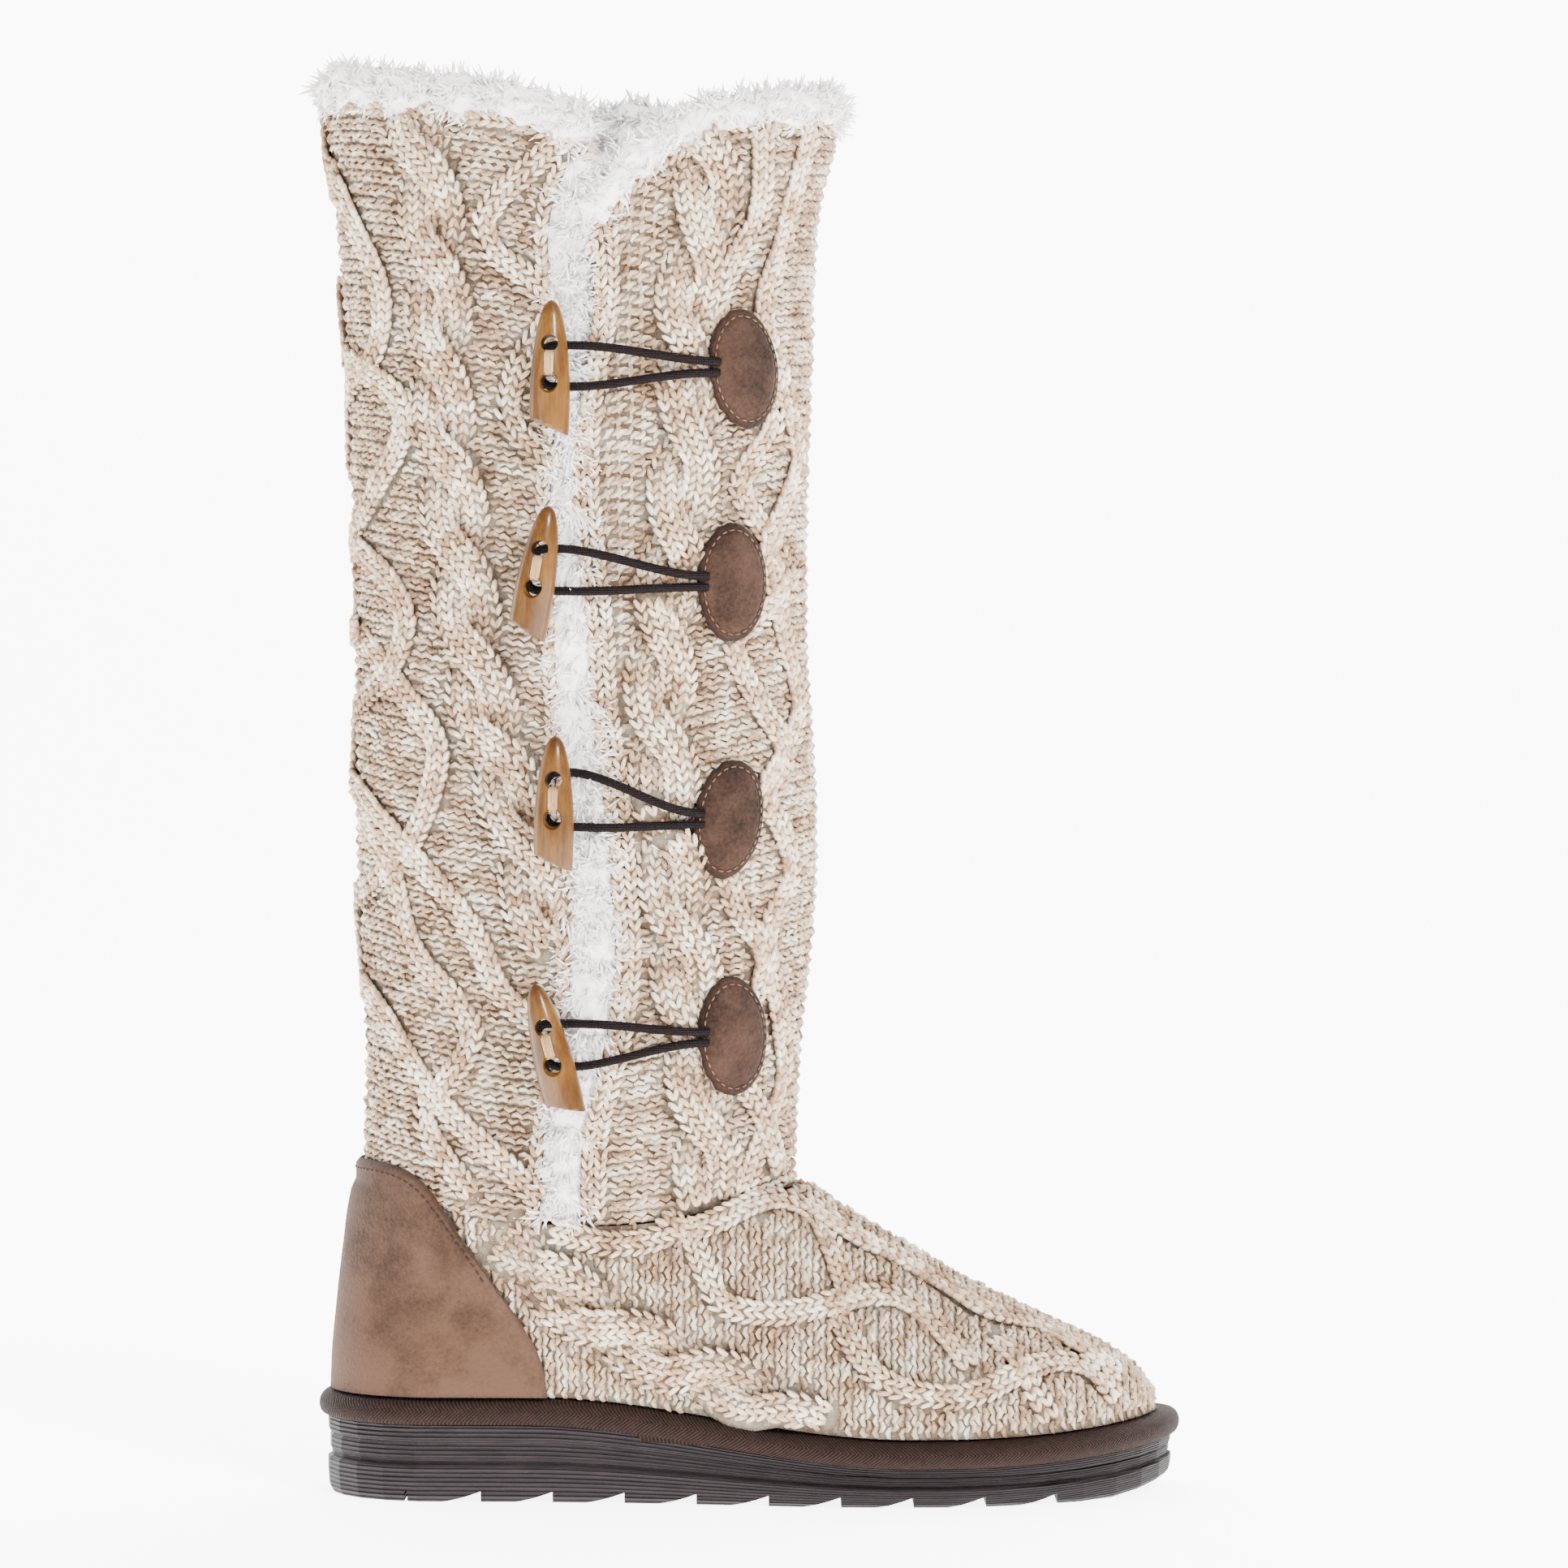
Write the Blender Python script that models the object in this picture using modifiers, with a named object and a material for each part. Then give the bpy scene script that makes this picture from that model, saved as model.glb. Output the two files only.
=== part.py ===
"""Knee-high cable-knit winter boot, right foot, standing empty on its sole.

The toe points to +X, the outer side with its toggles faces -Y, and +Z is up.
The origin is on the floor under the middle of the heel. All sizes are in metres.
"""

import bisect
import math
from collections import namedtuple

import bmesh
import bpy
import numpy as np
from mathutils import Matrix, Vector

# Clearance between pieces that meet
GAP = 0.0003

# Sole
SOLE_LENGTH = 0.2750
HEEL_BACK = 0.0372
BALL_WIDTH = 0.1030
HEEL_WIDTH = 0.0710
TOE_INSWING = 0.0100
HEEL_HEIGHT = 0.0243
BALL_HEIGHT = 0.0122
TOE_SPRING = 0.0050
OUTSOLE_INSET = 0.0022
RIB_STEP = 0.0009
LUG_PITCH = 0.0226
LUG_DEPTH = 0.0034
LUG_START = 0.0158
HEEL_SLIT_X = -0.0074
HEEL_SLIT_WIDTH = 0.0009
PLATFORM_HEIGHT = 0.0085
PLATFORM_ROLL = 0.0016
INSOLE_THICKNESS = 0.0050
INSOLE_CLEARANCE = 0.0028

# Knitted upper and shaft
UPPER_INSET = 0.0062
KNIT_WALL = 0.0032
SEAM_HEIGHT = 0.0875
INSTEP_HEIGHT = 0.0983
SHAFT_CENTRE_X = 0.0468
SHAFT_DEPTH = 0.1462
SHAFT_WIDTH = 0.0920
COLLAR_HEIGHT = 0.4370
LAPEL_DROP = 0.0560
OPENING_HALF = 0.0075
CABLE_HEIGHT = 0.0020
CABLE_HALF = 0.0115
STRAND_HALF = 0.0036

# Suede heel counter
COUNTER_THICKNESS = 0.0016
COUNTER_HEIGHT = 0.0735
COUNTER_REACH = 0.0690
COUNTER_FULLNESS = 2.9
COUNTER_CLEARANCE = 0.0016

# Pile trim
PILE_HEIGHT = 0.0140
PILE_OVERHANG = 0.0060
PILE_THICKNESS = 0.0048
PILE_SKIRT = 0.0120
PILE_CLEARANCE = 0.0026
PLACKET_PROUD = 0.0012
PLACKET_FLANGE = 0.0050
PLACKET_THICKNESS = 0.0040
TUFT = 0.0015

# Toggle fastenings
TOGGLE_LENGTH = 0.0395
TOGGLE_RADIUS = 0.0062
TOGGLE_SLANT = 24.0
HOLE_SPACING = 0.0119
HOLE_RADIUS = 0.0031
CORD_DIAMETER = 0.0035
TIE_DIAMETER = 0.0017
PATCH_WIDTH = 0.0205
PATCH_HEIGHT = 0.0375
PATCH_EDGE = 0.0016
PATCH_DOME = 0.0012

# How finely each piece is divided
SOLE_POINTS = 46
INSOLE_POINTS = 36
FOOT_COLUMNS = 44
FOOT_LINING_COLUMNS = 28
SHAFT_ROWS = 24
SHAFT_LINING_COLUMNS = 22
COUNTER_ROWS = 9
COLLAR_SECTIONS = 44
PATCH_SIDES = 20
TOGGLE_SIDES = 12
HOLE_SIDES = 10
CORD_STEPS = 4

# How far each half of the sole's outline has grown from heel width (0) to ball width (1)
Plan = namedtuple("Plan", "share outer inner")
PLAN = [
    Plan(0.00, 0.00, 0.00),
    Plan(0.18, 0.00, -0.04),
    Plan(0.34, 0.16, -0.14),
    Plan(0.48, 0.52, 0.10),
    Plan(0.60, 0.88, 0.62),
    Plan(0.70, 1.02, 0.98),
    Plan(0.82, 0.98, 1.04),
    Plan(1.00, 0.80, 0.88),
]
HEEL_ROUND = 0.135
TOE_ROUND = 0.300

# Steps of the outsole's side from the floor (0) to its top (1), drawn in by so many rib steps
Step = namedtuple("Step", "height inset")
SOLE_STEPS = [
    Step(0.00, 1.6),
    Step(0.08, 0.4),
    Step(0.30, 0.0),
    Step(0.46, 0.0),
    Step(0.49, 1.4),
    Step(0.55, 1.4),
    Step(0.58, 0.8),
    Step(0.75, 0.8),
    Step(0.78, 1.5),
    Step(0.82, 0.2),
    Step(1.00, 0.0),
]

# Steps of the taped platform's side, which rolls over at its top, in shares of its roll
PLATFORM_STEPS = [
    Step(0.00, 1.2),
    Step(0.12, 0.2),
    Step(0.40, -0.3),
    Step(0.70, 0.0),
    Step(0.92, 1.0),
    Step(1.00, 2.2),
]

# A saw-tooth gap of the tread: how far its slope runs back, in lug pitches, and the share of the
# sole's length that the last one may reach
LUG_SLOPE = 0.55
LUG_END = 0.865

# Foot rings from the feather line (rise 0) to the ankle seam (rise 1). heel and toe are shares of
# the way from the last's ends to the ankle's. plan is a share of the sole's width, oval a share of
# the ankle's, and blend turns the one outline into the other.
Ring = namedtuple("Ring", "rise heel toe plan oval blend")
FOOT_RINGS = [
    Ring(0.000, 0.00, 0.000, 0.905, 1.126, 0.00),
    Ring(0.095, 0.03, 0.023, 0.925, 1.150, 0.03),
    Ring(0.180, 0.06, 0.058, 0.925, 1.150, 0.08),
    Ring(0.280, 0.13, 0.130, 0.900, 1.120, 0.28),
    Ring(0.400, 0.23, 0.274, 0.850, 1.057, 0.60),
    Ring(0.510, 0.32, 0.416, 0.815, 1.014, 0.85),
    Ring(0.615, 0.42, 0.553, 0.800, 0.995, 1.00),
    Ring(0.715, 0.52, 0.660, 0.795, 0.990, 1.00),
    Ring(0.815, 0.61, 0.777, 0.795, 0.990, 1.00),
    Ring(0.915, 0.74, 0.886, 0.800, 0.995, 1.00),
    Ring(0.980, 0.87, 0.944, 0.805, 1.000, 1.00),
    Ring(1.000, 1.00, 1.000, 0.805, 1.000, 1.00),
]

# Ridges of the foot, as rows that run from the heel round the toe. base is the share of the way
# from feather line to seam, sway how far it wanders, and raised the ridge's height in cables.
Row = namedtuple("Row", "base sway waves phase raised")
FOOT_ROWS = [
    Row(0.000, 0.000, 0, 0.0, 0.0),
    Row(0.060, 0.000, 0, 0.0, 0.0),
    Row(0.175, 0.010, 7, 0.0, 0.8),
    Row(0.240, 0.010, 7, 0.0, 0.8),
    Row(0.285, 0.008, 7, 0.0, 0.0),
    Row(0.370, 0.020, 4, 0.0, 0.0),
    Row(0.410, 0.026, 4, 0.0, 0.8),
    Row(0.455, 0.026, 4, 0.0, 0.0),
    Row(0.560, 0.010, 4, 0.5, 0.0),
    Row(0.640, 0.022, 4, 0.5, 0.0),
    Row(0.685, 0.026, 4, 0.5, 0.8),
    Row(0.735, 0.022, 4, 0.5, 0.0),
    Row(0.880, 0.000, 0, 0.0, 0.0),
    Row(0.935, 0.000, 0, 0.0, 0.6),
    Row(0.980, 0.000, 0, 0.0, 0.0),
    Row(1.000, 0.000, 0, 0.0, 0.0),
]
FOOT_LINING_ROWS = (0.0, 0.1, 0.25, 0.4, 0.55, 0.7, 0.85, 1.0)

# Shaft rings from the ankle seam (rise 0) to the collar (rise 1). centre and depth are shares of
# the shaft's depth, with centre measured towards the toe, and width is a share of its width.
Tube = namedtuple("Tube", "rise centre depth width")
SHAFT_RINGS = [
    Tube(0.000, -0.008, 0.936, 0.900),
    Tube(0.050, -0.006, 0.936, 0.925),
    Tube(0.130, 0.000, 0.944, 0.960),
    Tube(0.220, 0.007, 0.975, 0.985),
    Tube(0.310, 0.008, 0.998, 1.000),
    Tube(0.400, 0.003, 0.996, 1.000),
    Tube(0.500, -0.004, 0.980, 0.985),
    Tube(0.600, -0.006, 0.980, 0.975),
    Tube(0.680, -0.009, 0.995, 0.975),
    Tube(0.770, -0.009, 1.012, 0.980),
    Tube(0.860, -0.014, 1.032, 0.995),
    Tube(0.925, -0.014, 1.060, 1.010),
    Tube(0.970, -0.008, 1.100, 1.020),
    Tube(1.000, -0.004, 1.112, 1.025),
]

# The collar's knit edge: how far below its full height it lies, in shares of the lapel's drop, by
# share of the way round from the middle of the opening over the toe side.
Rim = namedtuple("Rim", "way drop")
COLLAR_EDGE = [
    Rim(0.000, 1.000),
    Rim(0.022, 0.640),
    Rim(0.052, 0.370),
    Rim(0.100, 0.170),
    Rim(0.152, 0.085),
    Rim(0.250, 0.015),
    Rim(0.500, 0.000),
    Rim(0.750, -0.095),
    Rim(0.882, 0.005),
    Rim(0.955, 0.090),
    Rim(1.000, 0.210),
    Rim(1.020, 0.270),
]

# Both knit edges of the opening in the shaft's outer side: how far each lies from the opening's
# middle line towards the toe, in shares of the opening's half width, by share of the way up.
Edge = namedtuple("Edge", "rise out")
BACK_EDGE = [
    Edge(0.00, -1.50),
    Edge(0.08, -1.30),
    Edge(0.16, -0.70),
    Edge(0.23, -0.45),
    Edge(0.31, -0.72),
    Edge(0.38, -0.68),
    Edge(0.46, -0.78),
    Edge(0.55, -0.88),
    Edge(0.66, -1.00),
    Edge(0.74, -0.75),
    Edge(0.81, -0.55),
    Edge(0.89, -0.95),
    Edge(0.94, -0.75),
    Edge(0.98, -0.10),
    Edge(1.00, 0.55),
]
FRONT_EDGE = [
    Edge(0.00, 0.25),
    Edge(0.09, 0.25),
    Edge(0.18, 1.05),
    Edge(0.25, 1.40),
    Edge(0.34, 1.25),
    Edge(0.43, 1.00),
    Edge(0.51, 0.68),
    Edge(0.61, 0.45),
    Edge(0.74, 0.00),
    Edge(0.81, 0.10),
    Edge(0.91, 0.95),
    Edge(1.00, 0.60),
]

# Cables of the shaft in order from the opening's front edge round to its back edge. top and
# bottom are shares of the way round, sway is in half widths of a rope, and waves counts the
# crossings or bends from seam to collar.
Cable = namedtuple("Cable", "kind top bottom sway waves phase")
SHAFT_CABLES = [
    Cable("rope", 0.110, 0.092, 0.00, 9, 0.0),
    Cable("strand", 0.190, 0.178, 0.55, 4, 0.0),
    Cable("strand", 0.245, 0.238, -0.55, 4, 0.0),
    Cable("rope", 0.335, 0.335, 0.00, 9, 0.0),
    Cable("strand", 0.435, 0.430, 0.55, 4, 0.5),
    Cable("strand", 0.560, 0.555, -0.55, 4, 0.5),
    Cable("rope", 0.655, 0.660, 0.00, 9, 0.0),
    Cable("strand", 0.738, 0.752, 0.55, 4, 0.3),
    Cable("strand", 0.793, 0.808, -0.55, 4, 0.3),
    Cable("rope", 0.868, 0.893, 0.00, 9, 0.0),
    Cable("strand", 0.936, 0.940, 0.40, 4, 0.8),
]

# Each toggle's middle, its lean in degrees from upright, and its oval patch. x and patch_x are
# shares of half the shaft's depth from its centre, z and patch_z shares of the way from seam to
# collar, and spread is how far the cord's two runs stand apart, in hole spacings.
Fastening = namedtuple("Fastening", "x z lean patch_x patch_z patch_lean spread")
FASTENINGS = [
    Fastening(-0.099, 0.766, -1.0, 0.687, 0.767, 4.0, 1.08),
    Fastening(-0.146, 0.585, -10.0, 0.639, 0.575, -1.0, 1.10),
    Fastening(-0.082, 0.381, -1.0, 0.625, 0.363, -8.0, 1.41),
    Fastening(-0.099, 0.163, 14.0, 0.639, 0.169, 1.0, 1.12),
]

# Outline of a toggle, turned like a horn, from its tip to past its cut end: place is a share of
# its length from the cut, and radius a share of its own radius.
Turn = namedtuple("Turn", "place radius")
TOGGLE_OUTLINE = [
    Turn(1.00, 0.00),
    Turn(0.97, 0.30),
    Turn(0.86, 0.58),
    Turn(0.68, 0.80),
    Turn(0.45, 0.96),
    Turn(0.20, 1.00),
    Turn(-0.16, 0.95),
    Turn(-0.16, 0.00),
]

Finish = namedtuple("Finish", "colour roughness")
FINISHES = {
    "knit": Finish((0.62, 0.54, 0.44), 0.95),
    "pile": Finish((0.90, 0.88, 0.86), 1.00),
    "suede": Finish((0.17, 0.105, 0.075), 0.90),
    "tape": Finish((0.055, 0.032, 0.024), 0.80),
    "rubber": Finish((0.035, 0.030, 0.030), 0.60),
    "wood": Finish((0.36, 0.20, 0.07), 0.30),
    "elastic": Finish((0.035, 0.022, 0.024), 0.60),
    "thread": Finish((0.66, 0.50, 0.33), 0.70),
}

# Ends of the last at the feather line, and the ankle's middle, reach and half width at the seam
LAST_HEEL_X = UPPER_INSET - HEEL_BACK
LAST_TOE_X = SOLE_LENGTH - HEEL_BACK - UPPER_INSET
ANKLE = SHAFT_RINGS[0]
ANKLE_X = SHAFT_CENTRE_X + SHAFT_DEPTH * ANKLE.centre
ANKLE_REACH = SHAFT_DEPTH / 2 * ANKLE.depth
ANKLE_HALF = SHAFT_WIDTH / 2 * ANKLE.width

# Distances outwards from the knit's ground to each layer of a fastening
CREST = CABLE_HEIGHT + GAP
CORD_OUT = CREST + GAP + CORD_DIAMETER / 2
TOGGLE_OUT = CORD_OUT + CORD_DIAMETER / 2 + GAP + TOGGLE_RADIUS


def along(table, column, share):
    """A column's smooth value at a share of the table's first column."""
    keys = [row[0] for row in table]
    values = [getattr(row, column) for row in table]
    last = len(keys) - 1
    i = min(max(bisect.bisect_right(keys, share) - 1, 0), last - 1)
    span = keys[i + 1] - keys[i]
    t = min(max((share - keys[i]) / span, 0.0), 1.0)
    before, after = max(i - 1, 0), min(i + 2, last)
    slope_a = (values[i + 1] - values[before]) / (keys[i + 1] - keys[before]) * span
    slope_b = (values[after] - values[i]) / (keys[after] - keys[i]) * span
    rise = values[i + 1] - values[i]
    square = 3 * rise - 2 * slope_a - slope_b
    cube = slope_a + slope_b - 2 * rise
    return values[i] + slope_a * t + square * t**2 + cube * t**3


def ease(value, low, high):
    """0 below low, 1 above high and smooth between."""
    t = min(max((value - low) / (high - low), 0.0), 1.0)
    return t * t * (3 - 2 * t)


def mix(a, b, share):
    return a + (b - a) * share


def sole_share(x):
    """Share of the sole's length at x, from the heel."""
    return (x + HEEL_BACK) / SOLE_LENGTH


def outsole_top(x):
    """Height of the outsole's top, which falls from heel to ball and lifts at the toe."""
    share = sole_share(x)
    lift = max(share - 0.735, 0.0) / 0.265
    return mix(HEEL_HEIGHT, BALL_HEIGHT, ease(share, 0.245, 0.682)) + TOE_SPRING * lift**2


def outsole_bottom(x):
    """Height of the tread, flat on the floor up to the toe spring."""
    lift = max(sole_share(x) - 0.895, 0.0) / 0.105
    return 1.2 * TOE_SPRING * lift**1.6


def feather_height(x):
    """Height of the line where the upper meets the platform."""
    return outsole_top(x) + PLATFORM_HEIGHT


def seam_height(x):
    """Height of the ankle seam, lowest at the opening and higher in front and behind."""
    reach = (x - SHAFT_CENTRE_X) / ANKLE_REACH
    return mix(SEAM_HEIGHT, INSTEP_HEIGHT, reach**2)


def inswing(x):
    """How far the foot's middle line lies inwards at x."""
    return TOE_INSWING * (max(sole_share(x) - 0.48, 0.0) / 0.52) ** 2


def plan_half(share, angle):
    """Half width of the sole's outline at a share of its length, outwards where sin(angle) > 0."""
    growth = along(PLAN, "outer" if math.sin(angle) > 0 else "inner", share)
    half = mix(HEEL_WIDTH, BALL_WIDTH, growth) / 2
    heel = math.sqrt(max(1 - max(1 - share / HEEL_ROUND, 0.0) ** 2, 0.0))
    toe_reach = max(share - 1 + TOE_ROUND, 0.0) / TOE_ROUND
    toe = math.sqrt(max(1 - toe_reach**2.3, 0.0))
    return half * heel * toe


def sole_point(angle, inset):
    """Point of the sole's outline at z 0. Angle 0 is the heel, pi / 2 the outer side, pi the toe."""
    share = (1 - math.cos(angle)) / 2
    x = mix(-HEEL_BACK + inset, SOLE_LENGTH - HEEL_BACK - inset, share)
    side = -1 if math.sin(angle) > 0 else 1
    half = plan_half(share, angle) * (1 - 2 * inset / HEEL_WIDTH)
    return Vector((x, side * half + inswing(x), 0))


def foot_point(angle, rise):
    """Point of the knitted foot's outside. rise runs from 0 at the feather line to 1 at the seam."""
    heel_x = mix(LAST_HEEL_X, ANKLE_X - ANKLE_REACH, along(FOOT_RINGS, "heel", rise))
    toe_x = mix(LAST_TOE_X, ANKLE_X + ANKLE_REACH, along(FOOT_RINGS, "toe", rise))
    share = (1 - math.cos(angle)) / 2
    x = mix(heel_x, toe_x, share)
    plan = plan_half(share, angle) * along(FOOT_RINGS, "plan", rise)
    oval = ANKLE_HALF * abs(math.sin(angle)) * along(FOOT_RINGS, "oval", rise)
    half = mix(plan, oval, along(FOOT_RINGS, "blend", rise))
    side = -1 if math.sin(angle) > 0 else 1
    seam = seam_height(min(x, ANKLE_X + ANKLE_REACH))
    return Vector((x, side * half + inswing(x), mix(feather_height(x), seam, rise)))


def shaft_ring(rise):
    """Points of the shaft's outline at a share of its height, in order from the middle of its
    outer side over the toe, and the length run at each."""
    centre = SHAFT_CENTRE_X + SHAFT_DEPTH * along(SHAFT_RINGS, "centre", rise)
    reach = SHAFT_DEPTH / 2 * along(SHAFT_RINGS, "depth", rise)
    half = SHAFT_WIDTH / 2 * along(SHAFT_RINGS, "width", rise)
    turn = np.linspace(0, 2 * math.pi, 181)
    points = np.column_stack([centre + reach * np.sin(turn), -half * np.cos(turn)])
    steps = np.linalg.norm(np.diff(points, axis=0), axis=1)
    return points, np.concatenate([[0.0], np.cumsum(steps)])


def rim_height(way_round):
    """Height of the collar's knit edge."""
    return COLLAR_HEIGHT - LAPEL_DROP * along(COLLAR_EDGE, "drop", way_round)


def shaft_point(way_round, rise, offset=0.0):
    """Point on the shaft, or offset outwards from it, at a share of the way round from the middle
    of the opening and a share of the way up."""
    points, length = shaft_ring(rise)

    def at(way):
        return Vector([float(np.interp(way % length[-1], length, points[:, i])) for i in (0, 1)])

    way, step = (way_round % 1.0) * length[-1], 0.002
    point, tangent = at(way), (at(way + step) - at(way - step)).normalized()
    z = mix(seam_height(point.x), rim_height(way_round), rise)
    return Vector((point.x + tangent.y * offset, point.y - tangent.x * offset, z))


def knit_edge(table, rise):
    """Share of the way round at which one of the opening's knit edges lies."""
    length = shaft_ring(rise)[1][-1]
    return OPENING_HALF * along(table, "out", rise) / length


def side_frame(x, z):
    """The shaft's outer side at x and z: the point, its outward normal and the way to the toe."""
    way_round = 0.0
    for _ in range(4):
        rise = (z - seam_height(x)) / (rim_height(way_round % 1.0) - seam_height(x))
        points, length = shaft_ring(rise)
        quarter = len(length) // 4 + 1
        side = slice(0, quarter) if x >= points[0, 0] else slice(-quarter, None)
        way_round = float(np.interp(x, points[side, 0], length[side]) / length[-1])
    point = shaft_point(way_round, rise)
    normal = (shaft_point(way_round, rise, 0.001) - point).normalized()
    point.z = z
    return point, normal, Vector((-normal.y, normal.x, 0))


def surface_normal(point_at, a, b, step_a, step_b):
    """Outward normal of a surface given as a function of two numbers."""
    along_a = point_at(a + step_a, b) - point_at(a - step_a, b)
    along_b = point_at(a, b + step_b) - point_at(a, b - step_b)
    return along_a.cross(along_b).normalized()


def new_object(name, data, finish):
    """An object in the boot's collection with its own material."""
    material = bpy.data.materials.new(name + "_" + finish)
    material.use_nodes = True
    shader = material.node_tree.nodes["Principled BSDF"]
    shader.inputs["Base Color"].default_value = (*FINISHES[finish].colour, 1)
    shader.inputs["Roughness"].default_value = FINISHES[finish].roughness
    shader.inputs["Metallic"].default_value = 0
    data.materials.append(material)
    obj = bpy.data.objects.new(name, data)
    BOOT.objects.link(obj)
    return obj


def new_mesh(bm, name):
    """A mesh with its faces outwards from a finished bmesh."""
    bmesh.ops.recalc_face_normals(bm, faces=bm.faces)
    mesh = bpy.data.meshes.new(name)
    bm.to_mesh(mesh)
    bm.free()
    return mesh


def new_solid(bm, name, finish, sharp=40):
    """A smooth-shaded object from a closed bmesh."""
    mesh = new_mesh(bm, name)
    mesh.shade_smooth()
    mesh.set_sharp_from_angle(angle=math.radians(sharp))
    return new_object(name, mesh, finish)


def cut(obj, bm, place):
    """Cuts a bmesh, as a hidden cutter at the given place, out of an object."""
    cutter = bpy.data.objects.new(obj.name + "_cutter", new_mesh(bm, obj.name + "_cutter"))
    CUTTERS.objects.link(cutter)
    cutter.matrix_world = place
    cutter.hide_render = True
    cutter.display_type = "WIRE"
    modifier = obj.modifiers.new("cut", "BOOLEAN")
    modifier.operation = "DIFFERENCE"
    modifier.object = cutter


def add_grid(bm, rows, closed):
    """A sheet of faces over rows of points. closed joins each row's end to its start."""
    verts = [[bm.verts.new(point) for point in row] for row in rows]
    for low, high in zip(verts, verts[1:]):
        for i in range(len(low) if closed else len(low) - 1):
            j = (i + 1) % len(low)
            bm.faces.new((low[i], low[j], high[j], high[i]))
    return verts


def zip_edges(bm, first, second):
    """Joins two runs of vertices that lie side by side with triangles, whatever their counts."""
    i = j = 0
    while i < len(first) - 1 or j < len(second) - 1:
        ahead_first = (i + 1) / (len(first) - 1)
        ahead_second = (j + 1) / (len(second) - 1)
        if j == len(second) - 1 or (i < len(first) - 1 and ahead_first <= ahead_second):
            bm.faces.new((first[i], first[i + 1], second[j]))
            i += 1
        else:
            bm.faces.new((first[i], second[j + 1], second[j]))
            j += 1


def make_wall(name, finish, outer, inner, closed):
    """A solid wall between two sheets of points, closed along its rims and any free sides."""
    bm = bmesh.new()
    out, inn = add_grid(bm, outer, closed), add_grid(bm, inner, closed)
    for end in (0, -1):
        first, second = list(out[end]), list(inn[end])
        if closed:
            first.append(first[0])
            second.append(second[0])
        zip_edges(bm, first, second)
        if not closed:
            zip_edges(bm, [row[end] for row in out], [row[end] for row in inn])
    return new_solid(bm, name, finish)


def add_lid(bm, ring):
    """Closes a ring of an even count, numbered from its heel end, with strips across it."""
    half = len(ring) // 2
    bm.faces.new((ring[0], ring[1], ring[-1]))
    for i in range(1, half - 1):
        bm.faces.new((ring[i], ring[i + 1], ring[-i - 1], ring[-i]))
    bm.faces.new((ring[half - 1], ring[half], ring[half + 1]))


def sole_ring(inset, height_at, count=SOLE_POINTS):
    """A ring of the sole's outline, drawn in by inset, at the height that height_at gives."""
    points = [sole_point(2 * math.pi * i / count, inset) for i in range(count)]
    return [Vector((p.x, p.y, height_at(p.x))) for p in points]


def make_stack(name, finish, rings):
    """A solid from closed rings of points, lowest first, with its top and bottom closed."""
    bm = bmesh.new()
    verts = add_grid(bm, rings, True)
    add_lid(bm, verts[0])
    add_lid(bm, verts[-1])
    return new_solid(bm, name, finish)


def add_bar(bm, outline):
    """A bar across the whole boot with the given outline in X and Z."""
    face = bm.faces.new([bm.verts.new((x, -BALL_WIDTH, z)) for x, z in outline])
    bar = bmesh.ops.extrude_face_region(bm, geom=[face])
    moved = [item for item in bar["geom"] if isinstance(item, bmesh.types.BMVert)]
    bmesh.ops.translate(bm, verts=moved, vec=(0, 2 * BALL_WIDTH, 0))


def tread_gaps():
    """The saw-tooth gaps under the sole and the thin slit in its heel, as bars across the sole."""
    bm = bmesh.new()
    below = -LUG_DEPTH
    run = LUG_SLOPE * LUG_PITCH
    reach = LUG_END * SOLE_LENGTH - HEEL_BACK - LUG_START
    for i in range(int(reach / LUG_PITCH) + 1):
        front = LUG_START + i * LUG_PITCH
        slope = [(front - run * s, LUG_DEPTH * (1 - s) ** 1.4) for s in (0.0, 0.3, 0.6, 0.85, 0.97)]
        add_bar(bm, [(front, below), *slope, (front - run, below)])
    front, back = HEEL_SLIT_X, HEEL_SLIT_X - HEEL_SLIT_WIDTH
    add_bar(bm, [(front, below), (front, LUG_DEPTH), (back, LUG_DEPTH), (back, below)])
    return bm


def make_outsole():
    def height(share):
        return lambda x: mix(outsole_bottom(x), outsole_top(x) - GAP, share)

    rings = []
    for step in SOLE_STEPS:
        rings.append(sole_ring(OUTSOLE_INSET + RIB_STEP * step.inset, height(step.height)))
    outsole = make_stack("outsole", "rubber", rings)
    cut(outsole, tread_gaps(), Matrix())


def make_platform():
    def height(share):
        return lambda x: outsole_top(x) + share * (PLATFORM_HEIGHT - GAP)

    rings = [sole_ring(PLATFORM_ROLL * step.inset, height(step.height)) for step in PLATFORM_STEPS]
    make_stack("platform", "tape", rings)


def make_insole():
    inset = UPPER_INSET + KNIT_WALL + INSOLE_CLEARANCE
    low = sole_ring(inset, lambda x: feather_height(x) + GAP, INSOLE_POINTS)
    high = sole_ring(inset, lambda x: feather_height(x) + INSOLE_THICKNESS, INSOLE_POINTS)
    make_stack("insole", "pile", [low, high])


def counter_angle():
    """Angle round the foot at which the heel counter's edge comes down to the feather line."""
    return math.acos(1 - 2 * COUNTER_REACH / (LAST_TOE_X - LAST_HEEL_X))


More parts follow.
